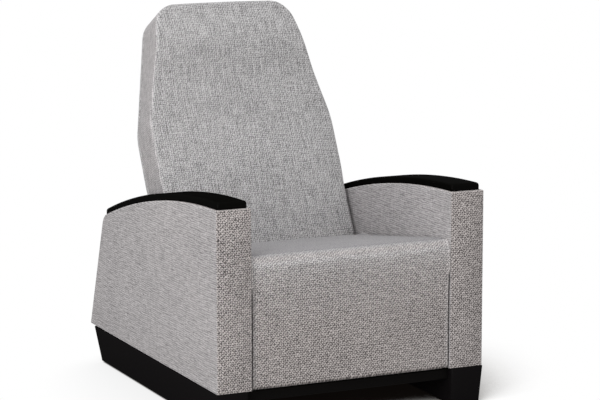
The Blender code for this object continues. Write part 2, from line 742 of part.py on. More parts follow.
def build_hinge(seat, footrest, looks):
    """A continuous hinge, folded shut at rest, with its pin just behind the cover's seam."""
    half = HINGE_LENGTH / 2
    bore = circle((0, 0), HINGE_PIN_RADIUS + PIN_CLEARANCE, PIN_STEPS // 2)
    leaves = (
        ("hinge_upper_leaf", seat, 0.0, HINGE_APART, HINGE_APART + HINGE_LEAF_THICKNESS, 0),
        ("hinge_lower_leaf", footrest, -PITCH, -HINGE_APART - HINGE_LEAF_THICKNESS, -HINGE_APART, 1),
    )
    length = HINGE_LENGTH / HINGE_KNUCKLES
    for name, parent, tilt, low, high, parity in leaves:
        body = side_slab(hinge_leaf(low, high), -half, half, [bore])
        leaf = piece(name, body, looks["steel"], parent, tilt)
        cuts = bmesh.new()
        for i in range(HINGE_KNUCKLES):
            if i % 2 == parity:
                continue
            cut = bmesh.ops.create_cube(cuts, size=1)["verts"]
            reach = 2 * HINGE_KNUCKLE_RADIUS + SIDE_GAP
            bmesh.ops.scale(cuts, vec=(length + SIDE_GAP, reach, reach), verts=cut)
            bmesh.ops.translate(cuts, vec=(-half + length * (i + 0.5), 0, 0), verts=cut)
        boolean(leaf, piece(f"{name}_cutter", cuts, looks["steel"], parent, tilt))
    rod = [(-half, 0), (-half, HINGE_PIN_RADIUS), (half, HINGE_PIN_RADIUS), (half, 0)]
    piece("hinge_pin", lathe(rod, Vector((1, 0, 0)), PIN_STEPS // 2), looks["steel"], seat)


def bar_pin_path():
    """Where the drive bar's front pin goes, seen from the footrest, from its hinge."""
    path = []
    for share in spread(0, 1, SLOT_STEPS):
        at_seat = (BAR_FRONT - BAR_TRAVEL * share, -BAR_DROP)
        path.append(turned_by(turned_by(at_seat, PITCH), -SWING * share))
    return path


def build_footrest(footrest, looks):
    slope = math.tan(PITCH)
    foot = ARM_FOOT_HEIGHT - HINGE_Z
    front = FOOTREST_SETBACK - HINGE_Y
    rear = front + FOOTREST_PAD_THICKNESS
    top = -FOOTREST_SEAM
    rear_top = top - slope * FOOTREST_PAD_THICKNESS
    corners = [
        (front, foot, FOOTREST_PAD_EDGE),
        (front, top, HINGE_Y),
        (rear, rear_top, 0),
        (rear, foot, 0),
    ]

    def on_front(u, v):
        return (-1, 0) if u < front + FOOTREST_PAD_EDGE and v < top - FOOTREST_PAD_EDGE else (0, 0)

    pad = padded_block(
        filleted(corners, 0, FILLET_STEPS + 1),
        FOOTREST_HALF_WIDTH,
        FOOTREST_PAD_EDGE,
        FOOTREST_CROWN,
        0,
        on_front,
    )
    piece("footrest_cushion", pad, looks["fabric"], footrest)
    near = BOARD_FRONT - HINGE_Y
    far = BOARD_REAR - HINGE_Y
    board_top = -slope * far - (HINGE_APART + HINGE_LEAF_THICKNESS + GAP) / math.cos(PITCH)
    board = [
        (-CRANK_OUT, foot + FOOTREST_BOARD_MARGIN),
        (CRANK_OUT, foot + FOOTREST_BOARD_MARGIN),
        (CRANK_OUT, board_top, 0),
        (-CRANK_OUT, board_top, 0),
    ]
    depth = Vector((0, far - near, 0))
    panel = slab(filleted(board, SEAT_FRAME_CORNER), front_view, Vector((0, near, 0)), depth)
    piece("footrest_board", panel, looks["wood"], footrest)
    for side, label in SIDES:
        build_crank(side, label, (far + GAP, board_top), footrest, looks)


def build_crank(side, label, board_edge, footrest, looks):
    """The steel bracket behind the footrest board, with the curved slot that the drive bar's pin runs in."""
    seat_y, board_top = board_edge
    path = bar_pin_path()
    wide = PIN_RADIUS + SLOT_CLEARANCE
    slot = band(path, wide)
    around = wide + CRANK_MARGIN
    low = min(v for _, v in path) - around
    high = max(v for _, v in path) + around
    far = max(u for u, _ in path) + around
    web = [
        (seat_y, low),
        (path[0][0] + around, low, around),
        (far, path[0][1] + around, around),
        (path[-1][0] + around, high, around),
        (seat_y, high),
    ]
    crank = piece(
        f"{label}_footrest_crank",
        side_slab(filleted(web, 0), side * CRANK_IN, side * CRANK_OUT, [slot]),
        looks["steel"],
        footrest,
    )
    inner = side * (CRANK_OUT - CRANK_FLANGE_WIDTH)
    outer = side * (CRANK_OUT - GAP)
    flange = [(seat_y, low + GAP), (seat_y + CRANK_THICKNESS, low + GAP)]
    flange += [(seat_y + CRANK_THICKNESS, board_top), (seat_y, board_top)]
    foot = piece(f"{label}_crank_flange_tool", side_slab(flange, inner, outer), looks["steel"], footrest)
    boolean(crank, foot, "UNION")


def back_half_width(height):
    """Half the back's width: even up to the shoulder, then tapering to the top."""
    share = max(0.0, (height - SHOULDER) / HEAD_RISE)
    return BACK_HALF_WIDTH + (TOP_WIDTH / 2 - BACK_HALF_WIDTH) * share


def back_outline(drawn_in, foot):
    """The back seen square on, narrower by an inset above the shoulder and full width below it."""
    wide = BACK_HALF_WIDTH
    narrow = TOP_WIDTH / 2 - drawn_in
    top = BACK_TOP - drawn_in
    right = [
        (wide, foot, 0),
        (wide, SHOULDER - drawn_in, SHOULDER_CORNER),
        (narrow, top, TOP_CORNER - drawn_in),
    ]
    return filleted(right + [(-x, z, r) for x, z, r in reversed(right)], 0, FILLET_STEPS + 2)


def tilted_head(bm):
    """Leans everything above the shoulder forward, with a clean fold along the shoulder."""
    whole = bm.verts[:] + bm.edges[:] + bm.faces[:]
    bmesh.ops.bisect_plane(bm, geom=whole, dist=WELD, plane_co=(0, 0, SHOULDER), plane_no=(0, 0, 1))
    for vert in bm.verts:
        vert.co.y -= max(0.0, vert.co.z - SHOULDER) * HEAD_SLOPE
    return bm


def rounding(distance):
    """How far a quarter-round edge falls back, as a share of its radius, at a distance from its end."""
    share = max(0.0, 1 - distance / BACK_CUSHION_EDGE)
    return 1 - math.sqrt(1 - share**2)


def cushion_ring(height, tuck):
    """A cut through the back cushion, round its front. A tuck of 1 slants the cut to lie level."""
    half = back_half_width(height)
    above = max(0.0, height - BACK_TOP + TOP_CORNER)
    half -= TOP_CORNER - math.sqrt(TOP_CORNER**2 - above**2)
    half -= BACK_DRAW * math.sin(math.pi * (height - CUSHION_FOOT) / (BACK_TOP - CUSHION_FOOT))
    roll = (height - SHOULDER - HEAD_ROLL_RISE) / HEAD_ROLL_SPAN
    bulge = HEAD_ROLL * math.cos(roll * math.pi / 2) ** 2 if abs(roll) < 1 else 0.0
    fall = rounding(min(height - CUSHION_FOOT, BACK_TOP - height))
    front = BACK_FRONT - bulge + BACK_CUSHION_EDGE * fall
    edge = BACK_CUSHION_EDGE * (1 - fall / 2)
    turns = [math.pi / 2 * t for t in spread(0, 1, EDGE_STEPS + 1)]
    right = [(half, CUSHION_REAR)]
    right += [(half - edge * (1 - math.cos(t)), front + edge * (1 - math.sin(t))) for t in turns]
    inner = half - edge
    across = spread(inner, -inner, PAD_STEPS)[1:-1]
    middle = [(x, front - BACK_CUSHION_CROWN * (1 - (x / inner) ** 2)) for x in across]
    outline = right + middle + [(-x, y) for x, y in reversed(right)]
    lean = max(0.0, height - SHOULDER) * HEAD_SLOPE
    return [Vector((x, y - lean, height + tuck * (y - BACK_FRONT) * math.tan(LEAN))) for x, y in outline]


def build_back_cushion(back, looks):
    """The cushion is level underneath, folds forward at the shoulder and swells behind the head."""
    rings = [(h, 1) for h in spread(CUSHION_FOOT, CUSHION_FOOT + BACK_CUSHION_EDGE, EDGE_STEPS)]
    rings += [(h, 0) for h in spread(CUSHION_FOOT + BACK_CUSHION_EDGE, SHOULDER, FILLET_STEPS)[1:]]
    rings += [(h, 0) for h in spread(SHOULDER, BACK_TOP - TOP_CORNER, PAD_STEPS)[1:]]
    turns = spread(0, math.pi / 2, PAD_STEPS)[1:]
    rings += [(BACK_TOP - TOP_CORNER * (1 - math.sin(t)), 0) for t in turns]
    piece("back_cushion", loft([cushion_ring(*ring) for ring in rings]), looks["fabric"], back)


def build_back(back, looks):
    build_back_cushion(back, looks)
    foot = foot_at(FRAME_REAR)
    rail = BACK_FRAME_RAIL
    low = foot + rail
    top = BACK_TOP - BACK_FRAME_INSET - rail
    wide = BACK_HALF_WIDTH - rail
    at_base = back_half_width(SHOULDER) - rail
    at_top = back_half_width(top) - rail
    lower = [(-wide, low), (wide, low), (wide, SHOULDER - rail), (-wide, SHOULDER - rail)]
    upper = [(-at_base, SHOULDER + GAP), (at_base, SHOULDER + GAP), (at_top, top), (-at_top, top)]
    frame = slab(
        back_outline(BACK_FRAME_INSET, foot),
        front_view,
        Vector((0, FRAME_FRONT, 0)),
        Vector((0, BACK_FRAME_THICKNESS, 0)),
        [filleted(window, WINDOW_CORNER) for window in (lower, upper)],
    )
    piece("back_frame", tilted_head(frame), looks["wood"], back)
    for i, height in enumerate(spread(low + rail, top - rail, BACK_STRAPS)):
        half = min(back_half_width(height + STRAP_WIDTH / 2), BACK_HALF_WIDTH) - rail / 2
        strap = [(-half, height - STRAP_WIDTH / 2), (half, height - STRAP_WIDTH / 2)]
        strap += [(half, height + STRAP_WIDTH / 2), (-half, height + STRAP_WIDTH / 2)]
        sheet = slab(strap, front_view, Vector((0, STRAP_FRONT, 0)), Vector((0, STRAP_THICKNESS, 0)))
        piece(f"back_strap_{i + 1}", tilted_head(sheet), looks["webbing"], back)
    build_back_panel(back, looks)


def build_back_panel(back, looks):
    outline = back_outline(0, foot_at(PANEL_REAR))
    panel = slab(outline, front_view, Vector((0, PANEL_FRONT, 0)), Vector((0, BACK_PANEL_THICKNESS, 0)))
    rim = [e for e in panel.edges if all(v.co.y > PANEL_REAR - GAP for v in e.verts) and sharp(e)]
    rounded(panel, rim, BACK_PANEL_EDGE, EDGE_STEPS - 1)
    piece("back_panel", tilted_head(panel), looks["fabric"], back)


def build_back_plate(side, label, back, looks):
    """The steel plate on each side of the back, hung on the arm, that pushes the seat and the bar."""
    seat_pin = on_back(SEAT_PIN_REACH)
    drive_pin = on_back(DRIVE_PIN_REACH)
    head = ((FRAME_FRONT + FRAME_REAR) / 2, BACK_PLATE_RISE)
    outline = band([head, (0, 0), drive_pin], BACK_PLATE_HALF_WIDTH)
    hole = PIN_RADIUS + PIN_CLEARANCE
    holes = [circle((0, 0), PIVOT_BOLT_RADIUS + PIN_CLEARANCE)]
    holes += [circle(seat_pin, hole), circle(drive_pin, hole)]
    plate = side_slab(outline, side * BACK_PLATE_IN, side * BACK_PLATE_OUT, holes)
    piece(f"{label}_back_plate", plate, looks["steel"], back)
    pins = (
        ("seat_pin", seat_pin, SIDE_PLATE_IN, SIDE_PLATE_OUT),
        ("drive_pin", drive_pin, BAR_IN, BAR_OUT),
    )
    for name, centre, face_in, face_out in pins:
        head_in = face_in - GAP
        head_out = BACK_PLATE_OUT + GAP
        profile = [
            (head_in - PIN_HEAD_THICKNESS, 0),
            (head_in - PIN_HEAD_THICKNESS, PIN_HEAD_RADIUS),
            (head_in, PIN_HEAD_RADIUS),
            (head_in, PIN_RADIUS),
            (face_out + GAP, PIN_RADIUS),
            (face_out + GAP, PIN_COLLAR_RADIUS),
            (BACK_PLATE_IN - GAP, PIN_COLLAR_RADIUS),
            (BACK_PLATE_IN - GAP, PIN_RADIUS),
            (head_out, PIN_RADIUS),
            (head_out, PIN_HEAD_RADIUS),
            (head_out + PIN_HEAD_THICKNESS, PIN_HEAD_RADIUS),
            (head_out + PIN_HEAD_THICKNESS, 0),
        ]
        piece(f"{label}_{name}", pin(profile, side, centre), looks["steel"], back)


def build_pivot_bolt(side, label, chair, looks):
    profile = [
        (BACK_PLATE_IN, 0),
        (BACK_PLATE_IN, PIVOT_BOLT_RADIUS),
        (BACK_PLATE_OUT + GAP, PIVOT_BOLT_RADIUS),
        (BACK_PLATE_OUT + GAP, PIVOT_COLLAR_RADIUS),
        (ARM_INNER - GAP, PIVOT_COLLAR_RADIUS),
        (ARM_INNER - GAP, PIVOT_BOLT_RADIUS),
        (ARM_INNER + PIVOT_BOLT_SEAT, PIVOT_BOLT_RADIUS),
        (ARM_INNER + PIVOT_BOLT_SEAT, 0),
    ]
    piece(f"{label}_back_pivot_bolt", pin(profile, side, PIVOT), looks["steel"], chair)


def build_side_plate(side, label, seat, looks):
    """The plate on each side of the seat: it carries the slider, guides the bar and takes the seat pin."""
    low = -BAR_DROP - BAR_HALF_HEIGHT - GUIDE_PIN_RADIUS
    high = FRAME_TOP - SIDE_GAP
    take = below_pivot(SEAT_PIN_REACH)
    arm = SIDE_PLATE_ARM_HALF_WIDTH
    corners = [
        (SIDE_PLATE_FRONT, low),
        (SIDE_PLATE_REAR, low),
        (take[0] + arm, take[1] - SEAT_PIN_DIP - arm),
        (take[0] + arm, take[1] + arm),
        (take[0] - arm, take[1] + arm),
        (SIDE_PLATE_SHOULDER, high),
        (SIDE_PLATE_FRONT, high),
    ]
    wide = PIN_RADIUS + SLOT_CLEARANCE
    holes = [band([(take[0], take[1]), (take[0], take[1] - SEAT_PIN_DIP)], wide)]
    holes += [circle((y, -BAR_DROP), GUIDE_PIN_RADIUS + PIN_CLEARANCE) for y in (FRONT_GUIDE, REAR_GUIDE)]
    outline = filleted(corners, SIDE_PLATE_CORNER)
    plate = side_slab(outline, side * SIDE_PLATE_IN, side * SIDE_PLATE_OUT, holes)
    piece(f"{label}_side_plate", plate, looks["steel"], seat)
    head_out = BAR_OUT + SIDE_GAP
    for name, y in (("front", FRONT_GUIDE), ("rear", REAR_GUIDE)):
        profile = [
            (SIDE_PLATE_IN, 0),
            (SIDE_PLATE_IN, GUIDE_PIN_RADIUS),
            (head_out, GUIDE_PIN_RADIUS),
            (head_out, PIN_HEAD_RADIUS),
            (head_out + PIN_HEAD_THICKNESS, PIN_HEAD_RADIUS),
            (head_out + PIN_HEAD_THICKNESS, 0),
        ]
        piece(f"{label}_{name}_guide_pin", pin(profile, side, (y, -BAR_DROP)), looks["steel"], seat)


def build_drive_bar(side, label, bar, looks):
    """A flat bar with two guide slots, an upright slot for the drive pin and a pin at its front end."""
    take = below_pivot(DRIVE_PIN_REACH)
    line = [(BAR_FRONT, -BAR_DROP), (take[0] - BAR_BEND, -BAR_DROP), take, (take[0], take[1] - DRIVE_PIN_DIP)]
    guide = GUIDE_PIN_RADIUS + PIN_CLEARANCE
    wide = PIN_RADIUS + SLOT_CLEARANCE
    slots = [band([(y, -BAR_DROP), (y + BAR_TRAVEL, -BAR_DROP)], guide) for y in (FRONT_GUIDE, REAR_GUIDE)]
    slots += [band(line[-2:], wide), circle(line[0], PIN_RADIUS + PIN_CLEARANCE)]
    plate = side_slab(band(line, BAR_HALF_HEIGHT), side * BAR_IN, side * BAR_OUT, slots)
    piece(f"{label}_drive_bar", plate, looks["steel"], bar)
    head_in = BAR_IN - GAP
    head_out = CRANK_OUT + GAP
    profile = [
        (head_in - PIN_HEAD_THICKNESS, 0),
        (head_in - PIN_HEAD_THICKNESS, PIN_HEAD_RADIUS),
        (head_in, PIN_HEAD_RADIUS),
        (head_in, PIN_RADIUS),
        (head_out, PIN_RADIUS),
        (head_out, PIN_HEAD_RADIUS),
        (head_out + PIN_HEAD_THICKNESS, PIN_HEAD_RADIUS),
        (head_out + PIN_HEAD_THICKNESS, 0),
    ]
    piece(f"{label}_bar_pin", pin(profile, side, line[0]), looks["steel"], bar)


SIDES = ((-1, "left"), (1, "right"))


def centre_on_footprint(chair):
    """Moves the chair so that the origin is half-way between its foremost and rearmost points."""
    bpy.context.view_layer.update()
    solids = [o for o in bpy.data.objects if o.type == "MESH" and not o.hide_render]
    depths = [(o.matrix_world @ v.co).y for o in solids for v in o.data.vertices]
    chair.location.y = -(min(depths) + max(depths)) / 2


def main():
    for obj in list(bpy.data.objects):
        bpy.data.objects.remove(obj)
    looks = {
        "fabric": finish("woven_grey_fabric", (0.30, 0.29, 0.30), 0.92),
        "moulding": finish("black_moulding", (0.016, 0.016, 0.018), 0.42),
        "painted_wood": finish("black_painted_wood", (0.016, 0.016, 0.018), 0.45),
        "black_steel": finish("black_steel", (0.02, 0.02, 0.02), 0.5, 1.0),
        "steel": finish("zinc_steel", (0.42, 0.42, 0.43), 0.38, 1.0),
        "wood": finish("plywood", (0.52, 0.37, 0.22), 0.7),
        "webbing": finish("elastic_webbing", (0.05, 0.05, 0.055), 0.85),
        "nylon": finish("nylon", (0.06, 0.06, 0.065), 0.5),
    }
    chair = axis_empty("chair", None, (0, 0, 0))
    seat = axis_empty("seat_carriage", chair, (0, *HINGE), -PITCH)
    footrest = axis_empty("footrest_hinge_axis", seat, (0, 0, 0), PITCH)
    back = axis_empty("back_pivot_axis", chair, (0, *PIVOT), -LEAN)
    for side, label in SIDES:
        build_arm(side, label, chair, looks)
        build_arm_cap(side, label, chair, looks)
        build_plinth(side, label, chair, looks)
        build_runner(side, label, chair, seat, looks)
        build_pivot_bolt(side, label, chair, looks)
        build_back_plate(side, label, back, looks)
        build_side_plate(side, label, seat, looks)
        build_drive_bar(side, label, axis_empty(f"{label}_bar_guide", seat, (0, 0, 0)), looks)
    build_cross_rail("front_cross_rail", FRONT_RAIL_Y, chair, looks)
    build_cross_rail("rear_cross_rail", REAR_RAIL_Y, chair, looks)
    build_seat(seat, looks)
    build_hinge(seat, footrest, looks)
    build_footrest(footrest, looks)
    build_back(back, looks)
    centre_on_footprint(chair)


main()
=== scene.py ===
"""The looks of a healthcare recliner: its upholstery, arm caps and plinths, and its working parts' finishes.

Lengths are in metres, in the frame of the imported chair: +Z is up, the chair faces -Y and stands on Z = 0.
Side views are written as (back, up), with back measured from the front of the arms.
A swell is how far padding may bulge. It is held near its edges (HELD) and grows over a distance (RISE).
"""

import json
import math

import bmesh
import bpy
from mathutils import Matrix, Vector


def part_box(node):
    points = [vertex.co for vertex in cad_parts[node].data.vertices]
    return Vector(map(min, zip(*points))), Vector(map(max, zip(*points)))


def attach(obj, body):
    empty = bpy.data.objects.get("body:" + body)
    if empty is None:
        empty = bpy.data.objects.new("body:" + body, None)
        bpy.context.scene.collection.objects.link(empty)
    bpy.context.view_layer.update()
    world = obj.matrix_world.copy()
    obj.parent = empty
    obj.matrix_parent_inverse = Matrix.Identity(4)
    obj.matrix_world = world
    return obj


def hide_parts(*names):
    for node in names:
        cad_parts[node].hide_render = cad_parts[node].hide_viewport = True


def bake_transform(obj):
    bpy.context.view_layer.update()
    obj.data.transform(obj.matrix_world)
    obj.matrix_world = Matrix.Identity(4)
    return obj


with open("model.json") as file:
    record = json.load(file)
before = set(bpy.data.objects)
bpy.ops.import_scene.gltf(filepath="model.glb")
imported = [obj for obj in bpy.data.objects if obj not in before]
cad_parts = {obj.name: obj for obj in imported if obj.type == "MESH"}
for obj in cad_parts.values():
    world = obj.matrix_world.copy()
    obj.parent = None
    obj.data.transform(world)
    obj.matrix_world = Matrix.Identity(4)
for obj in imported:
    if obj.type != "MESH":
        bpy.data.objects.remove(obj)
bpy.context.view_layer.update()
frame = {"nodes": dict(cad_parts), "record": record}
nodes = frame["nodes"]

# The front of the arms, from which side views are measured
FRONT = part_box("left_arm_cover")[0].y

# How near counts as the same, for cut edges, points of one plane, points of a padded face and held points
CUT_TOLERANCE = 1e-5
PLANE_TOLERANCE = 1e-4
FACE_TOLERANCE = 0.0005
HELD_TOLERANCE = 1e-6

# Edges that turn more than this are sharp
SHARP = math.radians(35)

# Stuffing: the pressure in cushions and in arms, and how many frames it works for
CUSHION_PRESSURE = 4.0
ARM_PRESSURE = 30
STUFFING_FRAMES = 20

# Arms
ARM_INNER = 0.296
ARM_OUTER = 0.397
ARM_FOOT = 0.105
ARM_FRONT_HEIGHT = 0.596
ARM_DEPTH_AT_FOOT = 0.9710
ARM_DEPTH_AT_TOP = 0.8475
ARM_TOP_RADIUS = 2.62
ARM_TOP_CREST = -0.015
ARM_REAR_CORNER = 0.022
ARM_EDGE = 0.003
ARM_SIDE_FACING = 0.6
ARM_SIDE_SWELL = 0.0028
ARM_SIDE_HELD = 0.006
ARM_SIDE_RISE = 0.07
ARM_FRONT_SWELL = 0.0055
ARM_FRONT_HELD = 0.002
ARM_FRONT_RISE = 0.06

# Arm caps
CAP_WIDTH = 0.087
CAP_THICKNESS = 0.0195
CAP_FRONT = 0.010
CAP_REAR_SETBACK = 0.005
CAP_CORNER = 0.008
CAP_TOP_EDGE = 0.0085
CAP_LOW_EDGE = 0.0025
CAP_CROWN = 0.0012

# Plinths
PLINTH_LIP = 0.0025
PLINTH_TAPER = 0.011
PLINTH_REAR_TAPER = 0.031
PLINTH_INNER_CORNER = 0.011
PLINTH_OUTER_CORNER = 0.004
PLINTH_EDGE = 0.002

# Seat: the nose is a roll, and the top slopes down towards the back
PITCH = math.radians(8.5)
NOSE_RADIUS = 0.036
NOSE_UP = 0.431
NOSE_SEAM = math.radians(72)
SEAM_BEFORE = 0.05
SEAM_AFTER = 0.02
COVER_THICKNESS = 0.003
COVER_GAP = 0.0006
SEAT_HALF_WIDTH = 0.291
SEAT_EDGE = 0.009
SEAT_REAR = 0.5440
SEAT_REAR_CORNER = [(0.5520, 0.3868), (0.5560, 0.3825), (0.5570, 0.3770)]
SEAT_FOOT_GAP = 0.0018
SEAT_FOOT_CORNER = 0.004
SEAT_FOOT_REAR = 0.026
SEAT_CENTRE = Vector((0.30, 0.40))
SEAT_DRAW_RUN = 0.25
SEAT_SIDE_FACING = 0.8
SEAT_SWELL = 0.006
SEAT_SWELL_RISE = 0.08
SEAT_SIDE_HELD = 0.012
SEAT_FRONT_HELD = 0.034
SEAT_REAR_HELD = 0.54
SEAT_TOP_BAND = 0.006

# The seat frame under the cushion, on the seat's own slope from the hinge
FRAME_FRONT = 0.0265
FRAME_REAR = 0.518
FRAME_TOP = 0.0345

# Footrest, hung from a hinge just behind the front cover
HINGE = (0.004, 0.3785)
PAD_FRONT = 0.003
PAD_REAR = 0.0377
PAD_FOOT = 0.105
PAD_HALF_WIDTH = 0.2924
PAD_FRONT_EDGE = 0.014
PAD_REAR_EDGE = 0.007
PAD_REAR_ROWS_START = 0.02
PAD_CROWN = 0.0030
PAD_DRAW = 0.003
PAD_SETBACK_RUN = 0.05
COVER_HALF_WIDTH = 0.2956
COVER_END = 0.0022
COVER_DRAW = 0.0009

# Rows of the front cover near its hinge, up or down from it, and its width's change from cover to pad
COVER_ROWS_END = 0.006
COVER_CREASE = (0.0006, -0.008)
COVER_LINING_START = 0.009
PAD_ROWS_START = -0.018
PAD_REAR_ROWS_END = -0.012
PAD_REAR_CORNER = [(0.0, -0.006), (-0.003, -0.0030)]
HINGE_POCKET = [(0.012, -0.0030), (0.0060, -0.0045), (0.0011, -0.0032), (0.0011, 0.0045)]
WIDTH_TURN_TOP = 0.004
WIDTH_TURN = 0.012

# Painted light on the cover, paler towards the nose: how much, from which height, and over what height it
# comes on
NOSE_PAINTED_LIGHT_STEPS = [(0.22, 0.26, 0.15), (0.25, 0.385, 0.05), (0.25, 0.432, 0.012)]

# Back, in heights along its slope from its pivot and depths square to it
PIVOT = (0.656865, 0.440060)
LEAN = math.radians(27)
HEAD_SLOPE = math.tan(math.radians(3.7))
BACK_FRONT = -0.060
BACK_SEAM = 0.0475
BACK_REAR = 0.0645
BACK_FOOT = -0.1294
BACK_FOOT_TUCK = 0.10
SHOULDER = 0.287
SHOULDER_TURN = 0.028
BACK_TOP = 0.654
BACK_HALF_WIDTH = 0.2872
BACK_EDGE = 0.014
BACK_CROWN = 0.004
BACK_WIDENING = 0.0035
BACK_WIDENING_FROM = 0.06
BACK_WIDENING_RUN = 0.08
BACK_CUTS = 0.28
BACK_SIDE_FACING = 0.7
TOP_HALF_WIDTH = 0.206
TOP_CORNER = 0.058
HEAD_ROLL = 0.014
HEAD_ROLL_UP = 0.245
HEAD_ROLL_REACH = 0.125
SEAM_OVERLAP = 0.0006
SEAM_STRIP = 0.004
BACK_SWELL = 0.004
BACK_SWELL_RISE = 0.07
BACK_TOP_HELD = 0.02
BACK_TOP_RISE = 0.06
BACK_LOW_HELD = 0.05
BACK_LOW_RISE = 0.12
BOXING_BAND = 0.002
BOXING_SWELL = 0.0018
BOXING_FRONT_HELD = 0.004
BOXING_FRONT_RISE = 0.03
BOXING_REAR_HELD = 0.008
BOXING_REAR_RISE = 0.02

# The rear panel, sewn to the back
PANEL_FOOT = BACK_FOOT + (BACK_REAR - BACK_FRONT) * math.tan(LEAN)
PANEL_GAP = 0.001
PANEL_EDGE = 0.006
PANEL_CUTS = 0.27
PANEL_CUTS_MARGIN = 0.02
PANEL_SWELL = 0.003
PANEL_HELD = 0.012
PANEL_RISE = 0.06

# The weave: the pitch of its twill lines, rows and columns, the size of its flecks, and its finest threads
WAVE_PERIOD = math.pi / 10
TWILL_TURN = math.radians(42.3)
TWILL_PITCH = 0.0075
CROSS_PITCH = 0.0051
ROW_PITCH = 0.0058
COLUMN_PITCH = 0.0062
YARN_SIZE = 0.0058
FLECK_SIZE = 0.0032
THREAD_PITCH = 0.0014
THREAD_RELIEF = 0.3

# How deep the surfaces are
WEAVE_DEPTH = 0.0012
WEBBING_DEPTH = 0.0010
WOOD_GRAIN_DEPTH = 0.0004
SCUFF_DEPTH = 0.00012

# Shares in the looks: painted highlight on turned edges, drift of the colour, painted shade on what lies
# flat on top, scuffs and gloss
RIM_HIGHLIGHT_SHARE = 0.30
DRIFT_SHARE = 0.18
TOP_SHADE_SHARE = 0.64
SCUFFS_PER_SMUDGE = 40.0
GLOSS_SWING = 0.12


def spread(first, last, count):
    """Evenly spaced values, both ends included."""
    return [first + (last - first) * i / (count - 1) for i in range(count)]


def quarter_turn(count):
    return spread(0, math.pi / 2, count)


def eased(share):
    """A share kept between 0 and 1, with a soft start and end."""
    share = min(1.0, max(0.0, share))
    return share * share * (3 - 2 * share)


# Shapes


def board(points, move):
    """A flat board: an outline of points swept along a move."""
    bm = bmesh.new()
    face = bm.faces.new([bm.verts.new(p) for p in points])
    grown = bmesh.ops.extrude_face_region(bm, geom=[face])["geom"]
    moved = [g for g in grown if isinstance(g, bmesh.types.BMVert)]
    bmesh.ops.translate(bm, verts=moved, vec=move)
    bmesh.ops.recalc_face_normals(bm, faces=bm.faces)
    return bm


def block(size):
    bm = bmesh.new()
    bmesh.ops.create_cube(bm, size=1)
    bmesh.ops.scale(bm, vec=size, verts=bm.verts)
    return bm


def loft(rings):
    """A closed skin through rings of points, made by extruding the first ring's face again and again."""
    bm = bmesh.new()
    first = cap = bm.faces.new([bm.verts.new(p) for p in rings[0]])
    for ring in rings[1:]:
        grown = bmesh.ops.extrude_face_region(bm, geom=[cap])["geom"]
        if cap != first:
            bm.faces.remove(cap)
        cap = next(g for g in grown if isinstance(g, bmesh.types.BMFace))
        for vert, point in zip(cap.verts, ring):
            vert.co = point
    bmesh.ops.recalc_face_normals(bm, faces=bm.faces)
    if bm.calc_volume(signed=True) < 0:
        bmesh.ops.reverse_faces(bm, faces=bm.faces)
    return bm


def sharp_edges(bm):
    return [e for e in bm.edges if len(e.link_faces) == 2 and e.calc_face_angle() > SHARP]


def uprights(bm, height):
    """The standing edges of a block of that height."""
    return [e for e in bm.edges if abs((e.verts[0].co - e.verts[1].co).z) > height / 2]


def round_over(bm, edges, radius, segments):
    bmesh.ops.bevel(
        bm,
        geom=edges,
        offset=radius,
        segments=segments,
        profile=0.5,
        affect="EDGES",
        clamp_overlap=True,
        material=-1,
    )


def cut_across(bm, axis, places):
    """Extra rows of edges, so that a long face can be bent."""
    for place in places:
        point = Vector((0, 0, 0))
        point[axis] = place
        way = Vector((0, 0, 0))
        way[axis] = 1
        whole = bm.verts[:] + bm.edges[:] + bm.faces[:]
        bmesh.ops.bisect_plane(bm, geom=whole, dist=CUT_TOLERANCE, plane_co=point, plane_no=way)


def object_from(name, bm):
    mesh = bpy.data.meshes.new(name)
    bm.to_mesh(mesh)
    bm.free()
    obj = bpy.data.objects.new(name, mesh)
    bpy.context.scene.collection.objects.link(obj)
    return obj


def applied(obj, modifier):
    bpy.context.view_layer.objects.active = obj
    bpy.ops.object.modifier_apply(modifier=modifier.name)


def stuffed(name, bm, reach, pressure=CUSHION_PRESSURE):
    """A stuffed cover, blown up as cloth between its edges.

    No point goes further than reach(point), which is 0 where it is held.
    """
    obj = object_from(name, bm)
    start = [v.co.copy() for v in obj.data.vertices]
    most = [reach(co) for co in start]
    held = obj.vertex_groups.new(name="held")
    held.add([i for i, m in enumerate(most) if m < HELD_TOLERANCE], 1.0, "REPLACE")
    stuffing = obj.modifiers.new("stuffing", "CLOTH")
    stuffing.settings.vertex_group_mass = held.name
    stuffing.settings.use_pressure = True
    stuffing.settings.uniform_pressure_force = pressure
    stuffing.settings.effector_weights.gravity = 0
    for step in range(1, STUFFING_FRAMES + 1):
        bpy.context.scene.frame_set(step)
    applied(obj, stuffing)
    bpy.context.scene.frame_set(1)
    obj.vertex_groups.clear()
    for vert, rest, limit in zip(obj.data.vertices, start, most):
        move = vert.co - rest
        if move.length > limit:
            vert.co = rest + move.normalized() * limit
    return obj


